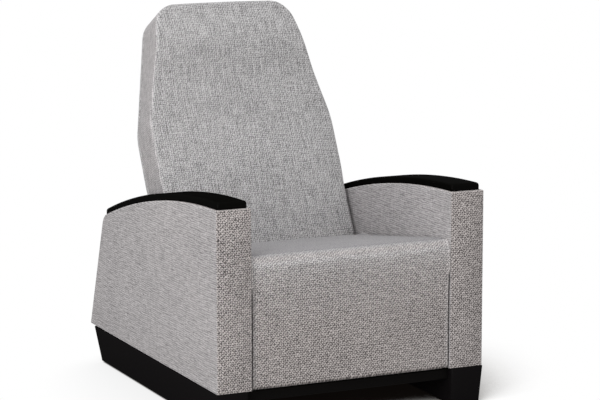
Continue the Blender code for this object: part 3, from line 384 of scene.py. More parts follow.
def lay_cloth(obj, lay, painted_top_shade=None, painted_light_mask=None):
    """Gives a piece its weave map, in metres, a mask of painted highlight on its turned edges and of any
    painted light it is given, and a mask of painted shade on what lies flat on top.
    """
    bm = bmesh.new()
    bm.from_mesh(obj.data)
    bm.normal_update()
    weave = bm.loops.layers.uv.new("weave")
    rim = bm.verts.layers.float.new("rim")
    flat = bm.verts.layers.float.new("painted_top_shade")
    for face in bm.faces:
        for loop in face.loops:
            loop[weave].uv = lay(loop.vert.co, face.normal)
    for vert in bm.verts:
        across = abs(vert.normal.x)
        # Painted highlight on turned edges, strongest where a face turns halfway from front to side
        vert[rim] = RIM_HIGHLIGHT_SHARE * (4 * across**2 * (1 - across**2)) ** 3
        # Any further painted light given for the piece, such as towards the nose
        if painted_light_mask:
            vert[rim] = max(vert[rim], painted_light_mask(vert.co, vert.normal))
        # Painted shade on faces that lie flat on top
        if painted_top_shade:
            vert[flat] = painted_top_shade(vert.co, vert.normal)
    bm.to_mesh(obj.data)
    bm.free()


def piece(obj, body, materials, stands_for=()):
    for material in materials:
        obj.data.materials.append(material)
    obj.data.shade_smooth()
    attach(obj, body)
    if stands_for:
        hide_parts(*stands_for)


def smoother(obj):
    finer = obj.modifiers.new("finer", "SUBSURF")
    finer.levels = finer.render_levels = 1


# Finishes


def fill_inputs(tree, node, inputs):
    """Sets a node's inputs, or links those whose value is another node's output."""
    for name, value in inputs.items():
        if isinstance(value, bpy.types.NodeSocket):
            tree.links.new(value, node.inputs[name])
        else:
            node.inputs[name].default_value = value


def linked(tree, kind, inputs=None, **settings):
    """A node with its settings made and its inputs set or linked."""
    node = tree.nodes.new(kind)
    for name, value in settings.items():
        setattr(node, name, value)
    fill_inputs(tree, node, inputs or {})
    return node


def maths(tree, operation, first, second=0.0, clamp=False):
    inputs = {0: first, 1: second}
    return linked(tree, "ShaderNodeMath", inputs, operation=operation, use_clamp=clamp).outputs[0]


def scaled(tree, value, by, plus, clamp=False):
    inputs = {0: value, 1: by, 2: plus}
    return linked(tree, "ShaderNodeMath", inputs, operation="MULTIPLY_ADD", use_clamp=clamp).outputs[0]


def vector_maths(tree, operation, first, second):
    second_input = "Scale" if operation == "SCALE" else 1
    inputs = {0: first, second_input: second}
    return linked(tree, "ShaderNodeVectorMath", inputs, operation=operation).outputs[0]


def mixed(tree, factor, first, second):
    node = linked(tree, "ShaderNodeMix", {"Factor": factor}, data_type="RGBA")
    for place, colour in ((6, first), (7, second)):
        is_linked = isinstance(colour, bpy.types.NodeSocket)
        fill_inputs(tree, node, {place: colour if is_linked else (*colour, 1)})
    return node.outputs[2]


def noise(tree, vector, scale, detail, dimensions="3D", **inputs):
    inputs = {"Vector": vector, "Scale": scale, "Detail": detail, **inputs}
    return linked(tree, "ShaderNodeTexNoise", inputs, noise_dimensions=dimensions).outputs


def bumped(tree, height, strength, distance):
    inputs = {"Height": height, "Strength": strength, "Distance": distance}
    return linked(tree, "ShaderNodeBump", inputs).outputs[0]


def own_place(tree):
    return linked(tree, "ShaderNodeTexCoord").outputs["Object"]


def group(name, inputs, outputs):
    tree = bpy.data.node_groups.new(name, "ShaderNodeTree")
    for label, kind, value in inputs:
        socket = tree.interface.new_socket(label, in_out="INPUT", socket_type=kind)
        if value is not None:
            socket.default_value = value
    for label in outputs:
        tree.interface.new_socket(label, in_out="OUTPUT", socket_type="NodeSocketFloat")
    return tree, tree.nodes.new("NodeGroupInput"), tree.nodes.new("NodeGroupOutput")


def weave_group():
    """A weave of rows and columns, the twill that they make, flecked yarn, and slubs along the threads."""
    number, triple = "NodeSocketFloat", "NodeSocketVector"
    inputs = [
        ("Vector", triple, None),
        ("Jitter", number, 0.006),
        ("Grain", triple, (110, 110, 1)),
        ("Twill", number, 0.5),
        ("Cross Twill", number, 0.3),
        ("Rows", number, 0.3),
        ("Columns", number, 0.3),
        ("Yarn", number, 0.0),
        ("Fleck", number, 0.5),
        ("Slub", number, 0.3),
        ("Slub Grain", triple, (20, 160, 1)),
        ("Cross Slub", number, 0.1),
        ("Cross Slub Grain", triple, (160, 20, 1)),
    ]
    tree, given, put = group("weave", inputs, ["Shade", "Height"])
    take = given.outputs
    flat = take["Vector"]
    grain = vector_maths(tree, "MULTIPLY", flat, take["Grain"])
    wander = vector_maths(tree, "SUBTRACT", noise(tree, grain, 1.0, 1.0, "2D")["Color"], (0.5, 0.5, 0.5))
    laid = vector_maths(tree, "ADD", flat, vector_maths(tree, "SCALE", wander, take["Jitter"]))

    def turned(angle):
        inputs = {"Vector": laid, "Angle": angle}
        return linked(tree, "ShaderNodeVectorRotate", inputs, rotation_type="Z_AXIS").outputs[0]

    def bands(vector, period, way):
        inputs = {"Vector": vector, "Scale": WAVE_PERIOD / period}
        return linked(tree, "ShaderNodeTexWave", inputs, bands_direction=way).outputs["Fac"]

    def cells(size):
        inputs = {"Vector": laid, "Scale": 1 / size}
        cell = linked(tree, "ShaderNodeTexVoronoi", inputs, voronoi_dimensions="2D").outputs["Color"]
        return linked(tree, "ShaderNodeSeparateColor", {0: cell}).outputs[0]

    def slubs(stretch):
        drawn = vector_maths(tree, "MULTIPLY", flat, stretch)
        return noise(tree, drawn, 1.0, 1.0, "2D")["Fac"]

    parts = {
        "Twill": bands(turned(TWILL_TURN), TWILL_PITCH, "X"),
        "Cross Twill": bands(turned(-TWILL_TURN), CROSS_PITCH, "X"),
        "Rows": bands(laid, ROW_PITCH, "Y"),
        "Columns": bands(laid, COLUMN_PITCH, "X"),
        "Yarn": cells(YARN_SIZE),
        "Fleck": cells(FLECK_SIZE),
        "Slub": slubs(take["Slub Grain"]),
        "Cross Slub": slubs(take["Cross Slub Grain"]),
    }
    shade = 0.5
    for name, value in parts.items():
        swing = maths(tree, "SUBTRACT", value, 0.5)
        shade = maths(tree, "ADD", maths(tree, "MULTIPLY", swing, take[name]), shade)
    threads = maths(tree, "MAXIMUM", bands(flat, THREAD_PITCH, "X"), bands(flat, THREAD_PITCH, "Y"))
    relief = maths(tree, "MULTIPLY", threads, THREAD_RELIEF)
    tree.links.new(maths(tree, "ADD", shade, 0.0, clamp=True), put.inputs["Shade"])
    tree.links.new(maths(tree, "ADD", shade, relief), put.inputs["Height"])
    return tree


def wear_group():
    """Handling marks, as two masks: broad smudges and fine scuffs."""
    inputs = [("Vector", "NodeSocketVector", None), ("Scale", "NodeSocketFloat", 9.0)]
    tree, given, put = group("wear", inputs, ["Smudge", "Scuff"])
    place, scale = given.outputs["Vector"], given.outputs["Scale"]
    fine = maths(tree, "MULTIPLY", scale, SCUFFS_PER_SMUDGE)
    tree.links.new(noise(tree, place, scale, 3.0)["Fac"], put.inputs["Smudge"])
    tree.links.new(noise(tree, place, fine, 2.0, Roughness=0.7)["Fac"], put.inputs["Scuff"])
    return tree


WEAVE = weave_group()
WEAR = wear_group()


def blank(name):
    material = bpy.data.materials.new(name)
    material.use_nodes = True
    tree = material.node_tree
    return material, tree, tree.nodes["Principled BSDF"]


def placed(tree, tree_group, inputs):
    return linked(tree, "ShaderNodeGroup", inputs, node_tree=tree_group).outputs


def webbing(name, dark, light, weave):
    """Elastic webbing, woven along the chair's own axes."""
    material, tree, shader = blank(name)
    woven = placed(tree, WEAVE, {"Vector": own_place(tree), **weave})
    looks = {
        "Base Color": mixed(tree, woven["Shade"], dark, light),
        "Roughness": scaled(tree, woven["Shade"], 0.15, 0.7),
        "Normal": bumped(tree, woven["Height"], 0.5, WEBBING_DEPTH),
    }
    fill_inputs(tree, shader, looks)
    return material


def cloth(name, dark, light, weave, bump):
    """Woven upholstery. Turned edges and the nose get painted light, a paler tone with softer weave; faces
    that lie flat on top get painted shade with a cool tint, and their weave shows less.
    """
    material, tree, shader = blank(name)
    lay = linked(tree, "ShaderNodeUVMap", uv_map="weave").outputs[0]
    woven = placed(tree, WEAVE, {"Vector": lay, **weave})
    # Painted light: the rim mask brings in a paler tone on turned edges and the nose
    rim = linked(tree, "ShaderNodeAttribute", attribute_name="rim").outputs["Fac"]
    painted_top_shade = linked(tree, "ShaderNodeAttribute", attribute_name="painted_top_shade").outputs["Fac"]
    drift = noise(tree, own_place(tree), 5.0, 3.0)["Fac"]
    cool = [c * k for c, k in zip(dark, (0.98, 0.98, 1.02))]
    warm = [c * k for c, k in zip(light, (1.0, 0.985, 0.97))]
    colour = mixed(tree, woven["Shade"], dark, light)
    colour = mixed(tree, DRIFT_SHARE, colour, mixed(tree, drift, cool, warm))
    # Painted shade with a cool tint where faces lie flat on top, which also evens out the weave there
    colour = mixed(tree, maths(tree, "MULTIPLY", painted_top_shade, TOP_SHADE_SHARE), colour, SEAT_TOP_SHADE_TONE)
    # The paler tone of the painted light, with half the weave's contrast
    painted_light_tone = mixed(tree, woven["Shade"], [c * 0.5 for c in CLOTH_LIT_TONE], [c * 1.5 for c in CLOTH_LIT_TONE])
    looks = {
        "Base Color": mixed(tree, rim, colour, painted_light_tone),
        "Roughness": scaled(tree, woven["Shade"], 0.12, 0.82),
        "Normal": bumped(tree, woven["Height"], bump, WEAVE_DEPTH),
        "Specular IOR Level": 0.2,
        "Sheen Weight": 0.12,
        "Sheen Roughness": 0.6,
    }
    fill_inputs(tree, shader, looks)
    return material


def hard(name, colour, rough, scale, metallic=0.0, specular=0.5, bump=0.08, coat=0.0):
    """A hard finish with smudged gloss and a fine, slightly uneven surface."""
    material, tree, shader = blank(name)
    worn = placed(tree, WEAR, {"Vector": own_place(tree), "Scale": scale})
    lighter = [min(1.0, c * 1.35 + 0.001) for c in colour]
    looks = {
        "Base Color": mixed(tree, worn["Scuff"], colour, lighter),
        "Roughness": scaled(tree, worn["Smudge"], GLOSS_SWING, rough - GLOSS_SWING / 2),
        "Normal": bumped(tree, worn["Scuff"], bump, SCUFF_DEPTH),
        "Metallic": metallic,
        "Specular IOR Level": specular,
        "Coat Weight": coat,
        "Coat Roughness": 0.22,
        "Coat IOR": 2.5,
    }
    fill_inputs(tree, shader, looks)
    return material


def plywood(name):
    """Pale veneer with its grain along the chair's depth, and darker plies that lie level."""
    material, tree, shader = blank(name)
    place = own_place(tree)
    along = linked(tree, "ShaderNodeMapping", {"Vector": place, "Scale": (60.0, 5.0, 60.0)}).outputs[0]
    grain = noise(tree, along, 1.0, 5.0, Distortion=0.6)["Fac"]
    layers = {"Vector": place, "Scale": 70.0, "Distortion": 0.6}
    plies = linked(tree, "ShaderNodeTexWave", layers, bands_direction="Z").outputs["Fac"]
    wood = mixed(tree, grain, (0.42, 0.27, 0.14), (0.72, 0.55, 0.34))
    looks = {
        "Base Color": mixed(tree, maths(tree, "MULTIPLY", plies, 0.25), wood, (0.36, 0.22, 0.11)),
        "Roughness": scaled(tree, grain, 0.2, 0.5),
        "Normal": bumped(tree, grain, 0.2, WOOD_GRAIN_DEPTH),
    }
    fill_inputs(tree, shader, looks)
    return material


# The tone of painted light on turned edges and the nose
CLOTH_LIT_TONE = (0.62, 0.608, 0.614)
# The painted shade's tone on faces that lie flat on top: darker and cooler than the cloth
SEAT_TOP_SHADE_TONE = (0.284, 0.288, 0.306)
FRONT_WEAVE = {
    "Jitter": 0.0062,
    "Twill": 0.7,
    "Cross Twill": 0.78,
    "Rows": 0.85,
    "Columns": 0.6,
    "Fleck": 0.5,
    "Slub": 0.35,
    "Cross Slub": 0.25,
}
ARM_WEAVE = {
    "Grain": (28.0, 130.0, 1.0),
    "Jitter": 0.0065,
    "Twill": 0.2,
    "Cross Twill": 0.35,
    "Rows": 0.7,
    "Columns": 0.65,
    "Fleck": 0.45,
    "Slub": 1.15,
    "Slub Grain": (22.0, 440.0, 1.0),
    "Cross Slub": 0.5,
    "Cross Slub Grain": (120.0, 28.0, 1.0),
}
BACK_WEAVE = {
    "Grain": (120.0, 80.0, 1.0),
    "Jitter": 0.007,
    "Twill": 0.36,
    "Cross Twill": 0.42,
    "Rows": 0.5,
    "Columns": 0.55,
    "Fleck": 0.3,
    "Slub": 0.9,
    "Slub Grain": (255.0, 17.0, 1.0),
    "Cross Slub": 0.58,
    "Cross Slub Grain": (21.0, 235.0, 1.0),
}
WEBBING_WEAVE = {"Jitter": 0.001, "Twill": 0.3, "Rows": 0.8, "Columns": 0.4, "Yarn": 0.5, "Slub": 0.0}

front_cloth = cloth("front cloth", (0.046, 0.039, 0.038), (0.795, 0.737, 0.720), FRONT_WEAVE, bump=0.6)
arm_cloth = cloth("arm cloth", (0.175, 0.166, 0.168), (0.66, 0.634, 0.638), ARM_WEAVE, bump=0.4)
back_cloth = cloth("back cloth", (0.135, 0.131, 0.132), (0.70, 0.69, 0.692), BACK_WEAVE, bump=0.5)
black_moulding = hard("black moulding", (0.0011, 0.0010, 0.0007), 0.42, 14.0, specular=0.0, coat=0.011)
black_paint = hard("black paint", (0.0054, 0.0047, 0.0050), 0.45, 7.0, specular=0.0, coat=0.008)
black_steel = hard("black powder coat", (0.004, 0.0036, 0.0034), 0.55, 20.0, specular=0.02, bump=0.2)
zinc_steel = hard("zinc plate", (0.52, 0.52, 0.53), 0.36, 25.0, metallic=0.95)
grey_nylon = hard("grey nylon", (0.06, 0.06, 0.065), 0.5, 30.0)
birch_ply = plywood("birch plywood")
black_webbing = webbing("black webbing", (0.012, 0.012, 0.013), (0.09, 0.09, 0.092), WEBBING_WEAVE)


# Arms


def arm_top(back):
    """The height of an arm's curved top."""
    rise = math.sqrt(ARM_TOP_RADIUS**2 - (back - ARM_TOP_CREST) ** 2)
    return ARM_FRONT_HEIGHT - ARM_TOP_RADIUS + ARM_TOP_CREST**2 / (2 * ARM_TOP_RADIUS) + rise


def arm_reach(point):
    """Only the outer side and the front swell. The seat and the back run close past the inner side."""
    back, up, x = point.y - FRONT, point.z, abs(point.x)
    slope = (ARM_DEPTH_AT_TOP - ARM_DEPTH_AT_FOOT) / (arm_top(ARM_DEPTH_AT_TOP) - ARM_FOOT)
    rear = ARM_DEPTH_AT_FOOT + slope * (up - ARM_FOOT)
    ends = min(arm_top(back) - up, up - ARM_FOOT)
    if x > ARM_OUTER - FACE_TOLERANCE:
        return ARM_SIDE_SWELL * eased((min(back, rear - back, ends) - ARM_SIDE_HELD) / ARM_SIDE_RISE)
    if back < FACE_TOLERANCE:
        across = (x - ARM_INNER) * (ARM_OUTER - x) / ((ARM_OUTER - ARM_INNER) / 2) ** 2
        return ARM_FRONT_SWELL * across * eased((ends - ARM_FRONT_HELD) / ARM_FRONT_RISE)
    return 0.0


def lay_on_arm(point, normal):
    if abs(normal.x) > ARM_SIDE_FACING:
        return (point.y, point.z)
    if abs(normal.y) > abs(normal.z):
        return (point.x, point.z)
    return (point.x, point.y)


def arm_upholstery():
    """The right arm's cover, with rows of edges clear of its rounded edges."""
    top = [(back, arm_top(back)) for back in spread(ARM_DEPTH_AT_TOP, 0, 24)]
    outline = [(0, ARM_FOOT), (ARM_DEPTH_AT_FOOT, ARM_FOOT)] + top
    bm = board([(ARM_INNER, FRONT + back, up) for back, up in outline], (ARM_OUTER - ARM_INNER, 0, 0))
    corner = FRONT + ARM_DEPTH_AT_TOP
    rear = [e for e in bm.edges if all(abs(v.co.y - corner) < PLANE_TOLERANCE for v in e.verts)]
    round_over(bm, rear, ARM_REAR_CORNER, 6)
    round_over(bm, sharp_edges(bm), ARM_EDGE, 4)
    cut_across(bm, 0, spread(ARM_INNER + 0.008, ARM_OUTER - 0.008, 9))
    cut_across(bm, 1, [FRONT + back for back in spread(0.010, ARM_DEPTH_AT_FOOT - 0.012, 62)])
    cut_across(bm, 2, spread(ARM_FOOT + 0.010, ARM_FRONT_HEIGHT - 0.010, 32))
    return stuffed("right_arm_upholstery", bm, arm_reach, ARM_PRESSURE)


def mirrored(obj, name):
    bm = bmesh.new()
    bm.from_mesh(obj.data)
    bmesh.ops.scale(bm, vec=(-1, 1, 1), verts=bm.verts)
    bmesh.ops.reverse_faces(bm, faces=bm.faces)
    return object_from(name, bm)


def build_arms():
    right = arm_upholstery()
    for side, obj in (("right", right), ("left", mirrored(right, "left_arm_upholstery"))):
        lay_cloth(obj, lay_on_arm)
        for face in obj.data.polygons:
            face.material_index = 0 if abs(face.normal.x) > ARM_SIDE_FACING else 1
        hidden = (f"{side}_arm_cover", f"{side}_arm_frame")
        piece(obj, "base", [arm_cloth, front_cloth], hidden)


def arm_cap(side, way):
    """A moulded cap bent over the arm's top, with round edges and corners."""
    rear = ARM_DEPTH_AT_TOP - CAP_REAR_SETBACK
    middle = way * (ARM_INNER + ARM_OUTER) / 2
    level = CAP_THICKNESS / 2 - PLANE_TOLERANCE
    bm = block((CAP_WIDTH, rear - CAP_FRONT, CAP_THICKNESS))
    round_over(bm, uprights(bm, CAP_THICKNESS), CAP_CORNER, 8)
    for up, radius in ((1, CAP_TOP_EDGE), (-1, CAP_LOW_EDGE)):
        rim = [e for e in sharp_edges(bm) if all(v.co.z * up > level for v in e.verts)]
        round_over(bm, rim, radius, 6)
    bmesh.ops.translate(bm, vec=(middle, FRONT + (CAP_FRONT + rear) / 2, 0), verts=bm.verts)
    cut_across(bm, 1, [FRONT + back for back in spread(CAP_FRONT + 0.02, rear - 0.02, 36)])
    for vert in bm.verts:
        crown = CAP_CROWN * (1 - ((vert.co.x - middle) / (CAP_WIDTH / 2)) ** 2)
        bend = arm_top(vert.co.y - FRONT) + CAP_THICKNESS / 2
        vert.co.z += bend + max(0.0, crown) * (vert.co.z > 0)
    return object_from(f"{side}_arm_cap_moulding", bm)


def plinth(side, way):
    """A painted plinth that tapers to the floor at its outer side and rear, with eased edges."""
    low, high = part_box(f"{side}_plinth")
    centre = (low + high) / 2
    bm = block(high - low)
    bmesh.ops.translate(bm, vec=centre, verts=bm.verts)
    for vert in bm.verts:
        below = vert.co.z < centre.z
        if abs(vert.co.x) > abs(centre.x):
            vert.co.x += way * PLINTH_LIP
            if below:
                vert.co.x -= way * PLINTH_TAPER
        if below and vert.co.y > 0:
            vert.co.y -= PLINTH_REAR_TAPER
    corners = uprights(bm, high.z - low.z)
    inner = [e for e in corners if abs(e.verts[0].co.x) < abs(centre.x)]
    round_over(bm, inner, PLINTH_INNER_CORNER, 6)
    round_over(bm, [e for e in corners if e.is_valid and e not in inner], PLINTH_OUTER_CORNER, 4)
    round_over(bm, sharp_edges(bm), PLINTH_EDGE, 3)
    return object_from(f"{side}_painted_plinth", bm)


# Seat and footrest


def pitched(rearward, up):
    """A point of the seat's own frame, from its hinge, as a side view."""
    return (
        HINGE[0] + rearward * math.cos(PITCH) + up * math.sin(PITCH),
        HINGE[1] - rearward * math.sin(PITCH) + up * math.cos(PITCH),
    )


def on_nose(turn, radius):
    """A point round the nose, turned up from its front."""
    return (NOSE_RADIUS - radius * math.cos(turn), NOSE_UP + radius * math.sin(turn))


def lay_on_front(point, normal):
    """The weave runs up the front, over the nose and back along the top."""
    if abs(normal.x) > SEAT_SIDE_FACING:
        return (point.y, point.z)
    return (point.x, point.z + point.y - FRONT)


# Painted shade: how much a face of the seat lies flat on top
def seat_painted_shade(point, normal):
    return eased((normal.z - 0.35) / 0.4)


# Painted shade: how much a face of the cover lies flat on top
def cover_painted_shade(point, normal):
    return eased((normal.z - 0.70) / 0.25)


def painted_nose_light(point, normal):
    """Painted light: the cover is made paler up towards the nose, less so where it faces up."""
    if normal.y > 0.3:
        return 0.0
    # The strength of the painted light, summed over its steps
    worn = sum(amount * eased((point.z - start) / run) for amount, start, run in NOSE_PAINTED_LIGHT_STEPS)
    return worn * (1 - 0.6 * eased((normal.z - 0.2) / 0.5))


def seat_reach(point):
    """The top swells most in its middle, and nothing else does, because its neighbours are close."""
    back = point.y - FRONT
    top = NOSE_UP + NOSE_RADIUS - math.tan(PITCH) * (back - NOSE_RADIUS)
    if point.z < top - SEAT_TOP_BAND:
        return 0.0
    across = eased((SEAT_HALF_WIDTH - SEAT_SIDE_HELD - abs(point.x)) / SEAT_SWELL_RISE)
    rear = eased((SEAT_REAR_HELD - back) / SEAT_SWELL_RISE)
    return SEAT_SWELL * across * rear * eased((back - SEAT_FRONT_HELD) / SEAT_SWELL_RISE)


def seat_outline():
    """The cushion's side view: up inside the front cover, over the nose, along the top and underneath."""
    core = NOSE_RADIUS - COVER_THICKNESS - COVER_GAP
    front = NOSE_RADIUS - core
    low = HINGE[1] + SEAT_FOOT_GAP
    outline = [(front + SEAT_FOOT_CORNER, low), (front, low + SEAT_FOOT_CORNER)]
    outline += [on_nose(turn, core) for turn in spread(0, NOSE_SEAM - SEAM_BEFORE, 10)]
    bare = spread(NOSE_SEAM + SEAM_AFTER, math.pi / 2 + PITCH, 4)
    outline += [on_nose(turn, NOSE_RADIUS) for turn in bare]
    start, height = outline[-1]
    top = spread(start, SEAT_REAR, 34)[1:]
    outline += [(back, height - math.tan(PITCH) * (back - start)) for back in top]
    outline += SEAT_REAR_CORNER
    outline += [pitched(FRAME_REAR, FRAME_TOP), pitched(FRAME_FRONT, FRAME_TOP), (SEAT_FOOT_REAR, low)]
    return outline


def seat_ring(outline, x, drawn):
    """The outline at one place across the seat, drawn in towards the cushion's middle."""
    ring = []
    for back, up in outline:
        ahead = SEAT_CENTRE.x - back
        inward = math.copysign(min(1.0, abs(ahead) / SEAT_DRAW_RUN), ahead)
        upward = math.copysign(1.0, SEAT_CENTRE.y - up)
        ring.append(Vector((x, FRONT + back + inward * drawn, up + upward * drawn)))
    return ring


def seat_cushion():
    outline = seat_outline()
    flat = SEAT_HALF_WIDTH - SEAT_EDGE
    ends = []
    for turn in quarter_turn(5):
        ends.append((SEAT_HALF_WIDTH - SEAT_EDGE * (1 - math.cos(turn)), SEAT_EDGE * (1 - math.sin(turn))))
    middle = [(x, 0.0) for x in spread(flat, -flat, 34)[1:-1]]
    stations = ends + middle + [(-x, drawn) for x, drawn in reversed(ends)]
    bm = loft([seat_ring(outline, x, drawn) for x, drawn in stations])
    obj = stuffed("seat_cushion_upholstery", bm, seat_reach)
    lay_cloth(obj, lay_on_front, seat_painted_shade)
    piece(obj, "seat", [front_cloth], ["seat_cushion"])
    smoother(obj)


def cover_profile():
    """The cover's side view, once round from the nose's seam, with how far each point can draw in."""
    hinge = HINGE[1]
    profile = []
    for turn in spread(NOSE_SEAM, 0, 14):
        draw = (COVER_DRAW * math.cos(turn), -COVER_DRAW * math.sin(turn))
        profile.append((*on_nose(turn, NOSE_RADIUS), draw))
    profile += [(0, up, (COVER_DRAW, 0)) for up in spread(NOSE_UP, hinge + COVER_ROWS_END, 8)[1:]]
    profile += [(0, hinge, (COVER_DRAW, 0)), (COVER_CREASE[0], hinge + COVER_CREASE[1], (PAD_DRAW, 0))]
    for up in spread(hinge + PAD_ROWS_START, PAD_FOOT + PAD_FRONT_EDGE, 26):
        profile.append((PAD_FRONT * eased((hinge - up) / PAD_SETBACK_RUN), up, (PAD_DRAW, 0)))
    for turn in quarter_turn(7)[1:]:
        way = Vector((math.cos(turn), math.sin(turn)))
        back = PAD_FRONT + PAD_FRONT_EDGE * (1 - way.x)
        profile.append((back, PAD_FOOT + PAD_FRONT_EDGE * (1 - way.y), tuple(way * PAD_DRAW)))
    for turn in spread(math.pi / 2, 0, 5):
        way = Vector((-math.cos(turn), math.sin(turn)))
        back = PAD_REAR - PAD_REAR_EDGE * (1 + way.x)
        profile.append((back, PAD_FOOT + PAD_REAR_EDGE * (1 - way.y), tuple(way * PAD_DRAW)))
    rear = spread(PAD_FOOT + PAD_REAR_ROWS_START, hinge + PAD_REAR_ROWS_END, 14)
    profile += [(PAD_REAR, up, (-PAD_DRAW, 0)) for up in rear]
    profile += [(PAD_REAR + back, hinge + up, (-PAD_DRAW, 0)) for back, up in PAD_REAR_CORNER]
    profile += [(back, hinge + up, (0, 0)) for back, up in HINGE_POCKET]
    lining = spread(hinge + COVER_LINING_START, NOSE_UP, 7)
    profile += [(COVER_THICKNESS, up, (-COVER_DRAW, 0)) for up in lining]
    for turn in spread(0, NOSE_SEAM, 14)[1:]:
        draw = (-COVER_DRAW * math.cos(turn), COVER_DRAW * math.sin(turn))
        profile.append((*on_nose(turn, NOSE_RADIUS - COVER_THICKNESS), draw))
    return profile


def cover_ring(profile, share, short, drawn):
    """The profile at a share of the cover's half width, a little short of it and drawn in by a share."""
    ring = []
    for back, up, (in_back, in_up) in profile:
        below = eased((HINGE[1] + WIDTH_TURN_TOP - up) / WIDTH_TURN)
        half = COVER_HALF_WIDTH + (PAD_HALF_WIDTH - COVER_HALF_WIDTH) * below
        down = eased((HINGE[1] - up) / (HINGE[1] - PAD_FOOT))
        crown = PAD_CROWN * below * (1 - share**2) * math.sin(math.pi * down)
        swell = crown if back < PAD_REAR / 2 else 0
        x = share * (half - short)
        ring.append(Vector((x, FRONT + back + in_back * drawn - swell, up + in_up * drawn)))
    return ring


def front_cover():
    """One cover from the nose down to the footrest, with the footrest's padding behind its lower part."""
    profile = cover_profile()
    # These run outward, so each end face lies inside the outermost ring, and the skin folds back there
    ends = [(COVER_END * (1 - math.sin(turn)), 1 - math.cos(turn)) for turn in quarter_turn(5)]
    stations = [(1, short, drawn) for short, drawn in ends]
    stations += [(share, COVER_END, 0.0) for share in spread(1, -1, 46)[1:-1]]
    stations += [(-1, short, drawn) for short, drawn in reversed(ends)]
    bm = loft([cover_ring(profile, *station) for station in stations])
    obj = object_from("front_cover_and_footrest_pad", bm)
    lay_cloth(obj, lay_on_front, cover_painted_shade, painted_nose_light)
    obj.data.materials.append(front_cloth)
    obj.data.shade_smooth()
    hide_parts("footrest_cushion")
    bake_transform(obj)


# Back


def on_back(x, depth, height):
    """A point of the back, from depth and height on its slope. The head leans forward above the shoulder."""
    depth -= max(0.0, height - SHOULDER) * HEAD_SLOPE
    back = PIVOT[0] + depth * math.cos(LEAN) + height * math.sin(LEAN)
    up = PIVOT[1] - depth * math.sin(LEAN) + height * math.cos(LEAN)
    return Vector((x, FRONT + back, up))


def back_place(point):
    """Depth and height on the back's slope of a point."""
    across, up = point.y - FRONT - PIVOT[0], point.z - PIVOT[1]
    return across * math.cos(LEAN) - up * math.sin(LEAN), across * math.sin(LEAN) + up * math.cos(LEAN)


def padding_place(point):
    """Depth and height on the back's slope, with the head's lean taken out of the depth."""
    depth, height = back_place(point)
    return depth + max(0.0, height - SHOULDER) * HEAD_SLOPE, height


def back_half_width(height):
    """Even up to the shoulder, with a soft turn there, then tapering to the rounded top."""
    taper = (BACK_HALF_WIDTH - TOP_HALF_WIDTH) / (BACK_TOP - SHOULDER)
    past = height - SHOULDER
    fall = taper * max(0.0, past)
    if abs(past) < SHOULDER_TURN:
        fall = taper * (past + SHOULDER_TURN) ** 2 / (4 * SHOULDER_TURN)
    above = max(0.0, height - BACK_TOP + TOP_CORNER)
    wide = BACK_HALF_WIDTH + BACK_WIDENING * eased((height - BACK_WIDENING_FROM) / BACK_WIDENING_RUN)
    return wide - fall - TOP_CORNER + math.sqrt(TOP_CORNER**2 - min(above, TOP_CORNER) ** 2)


def head_roll(height):
    """How far the head's pillow stands forward."""
    share = (height - SHOULDER - HEAD_ROLL_UP) / HEAD_ROLL_REACH
    return HEAD_ROLL * math.cos(share * math.pi / 2) ** 2 if abs(share) < 1 else 0.0


def back_ring(height, tuck):
    """The cushion's outline at one height, with its rear lifted level where it is tucked under."""
    half = back_half_width(height)
    near = min(height - BACK_FOOT, BACK_TOP - height)
    fall = 1 - math.sqrt(1 - max(0.0, 1 - near / BACK_EDGE) ** 2)
    front = BACK_FRONT - head_roll(height) + BACK_EDGE * fall
    edge = BACK_EDGE * (1 - fall / 2)
    inner = half - edge
    right = [(half, BACK_SEAM + SEAM_OVERLAP)]
    right += [(half, depth) for depth in spread(BACK_SEAM - SEAM_STRIP, front + edge, 7)[:-1]]
    for turn in quarter_turn(6):
        right.append((half - edge * (1 - math.cos(turn)), front + edge * (1 - math.sin(turn))))
    middle = [(x, front - BACK_CROWN * (1 - (x / inner) ** 2)) for x in spread(inner, -inner, 36)[1:-1]]
    outline = right + middle + [(-x, depth) for x, depth in reversed(right)]
    lift = tuck * math.tan(LEAN)
    return [on_back(x, depth, height + lift * (depth - BACK_FRONT)) for x, depth in outline]


def back_reach(point):
    """The front swells most, the sides a little, and neither near the plates that carry the back."""
    depth, height = padding_place(point)
    across = back_half_width(min(BACK_TOP, height)) - abs(point.x)
    ends = eased((BACK_TOP - BACK_TOP_HELD - height) / BACK_TOP_RISE)
    ends *= eased((height - BACK_LOW_HELD) / BACK_LOW_RISE)
    if across > BACK_EDGE and depth < 0:
        return BACK_SWELL * eased((across - BACK_EDGE) / BACK_SWELL_RISE) * ends
    if across < BOXING_BAND and depth > BACK_FRONT:
        front = eased((depth - BACK_FRONT - BACK_EDGE - BOXING_FRONT_HELD) / BOXING_FRONT_RISE)
        rear = eased((BACK_SEAM - BOXING_REAR_HELD - depth) / BOXING_REAR_RISE)
        return BOXING_SWELL * front * rear * ends
    return 0.0


def lay_on_back(point, normal):
    depth, height = back_place(point)
    if abs(normal.x) > BACK_SIDE_FACING:
        return (height, depth)
    if abs(normal.y * math.sin(LEAN) + normal.z * math.cos(LEAN)) > BACK_SIDE_FACING:
        return (point.x, depth)
    return (point.x, height)


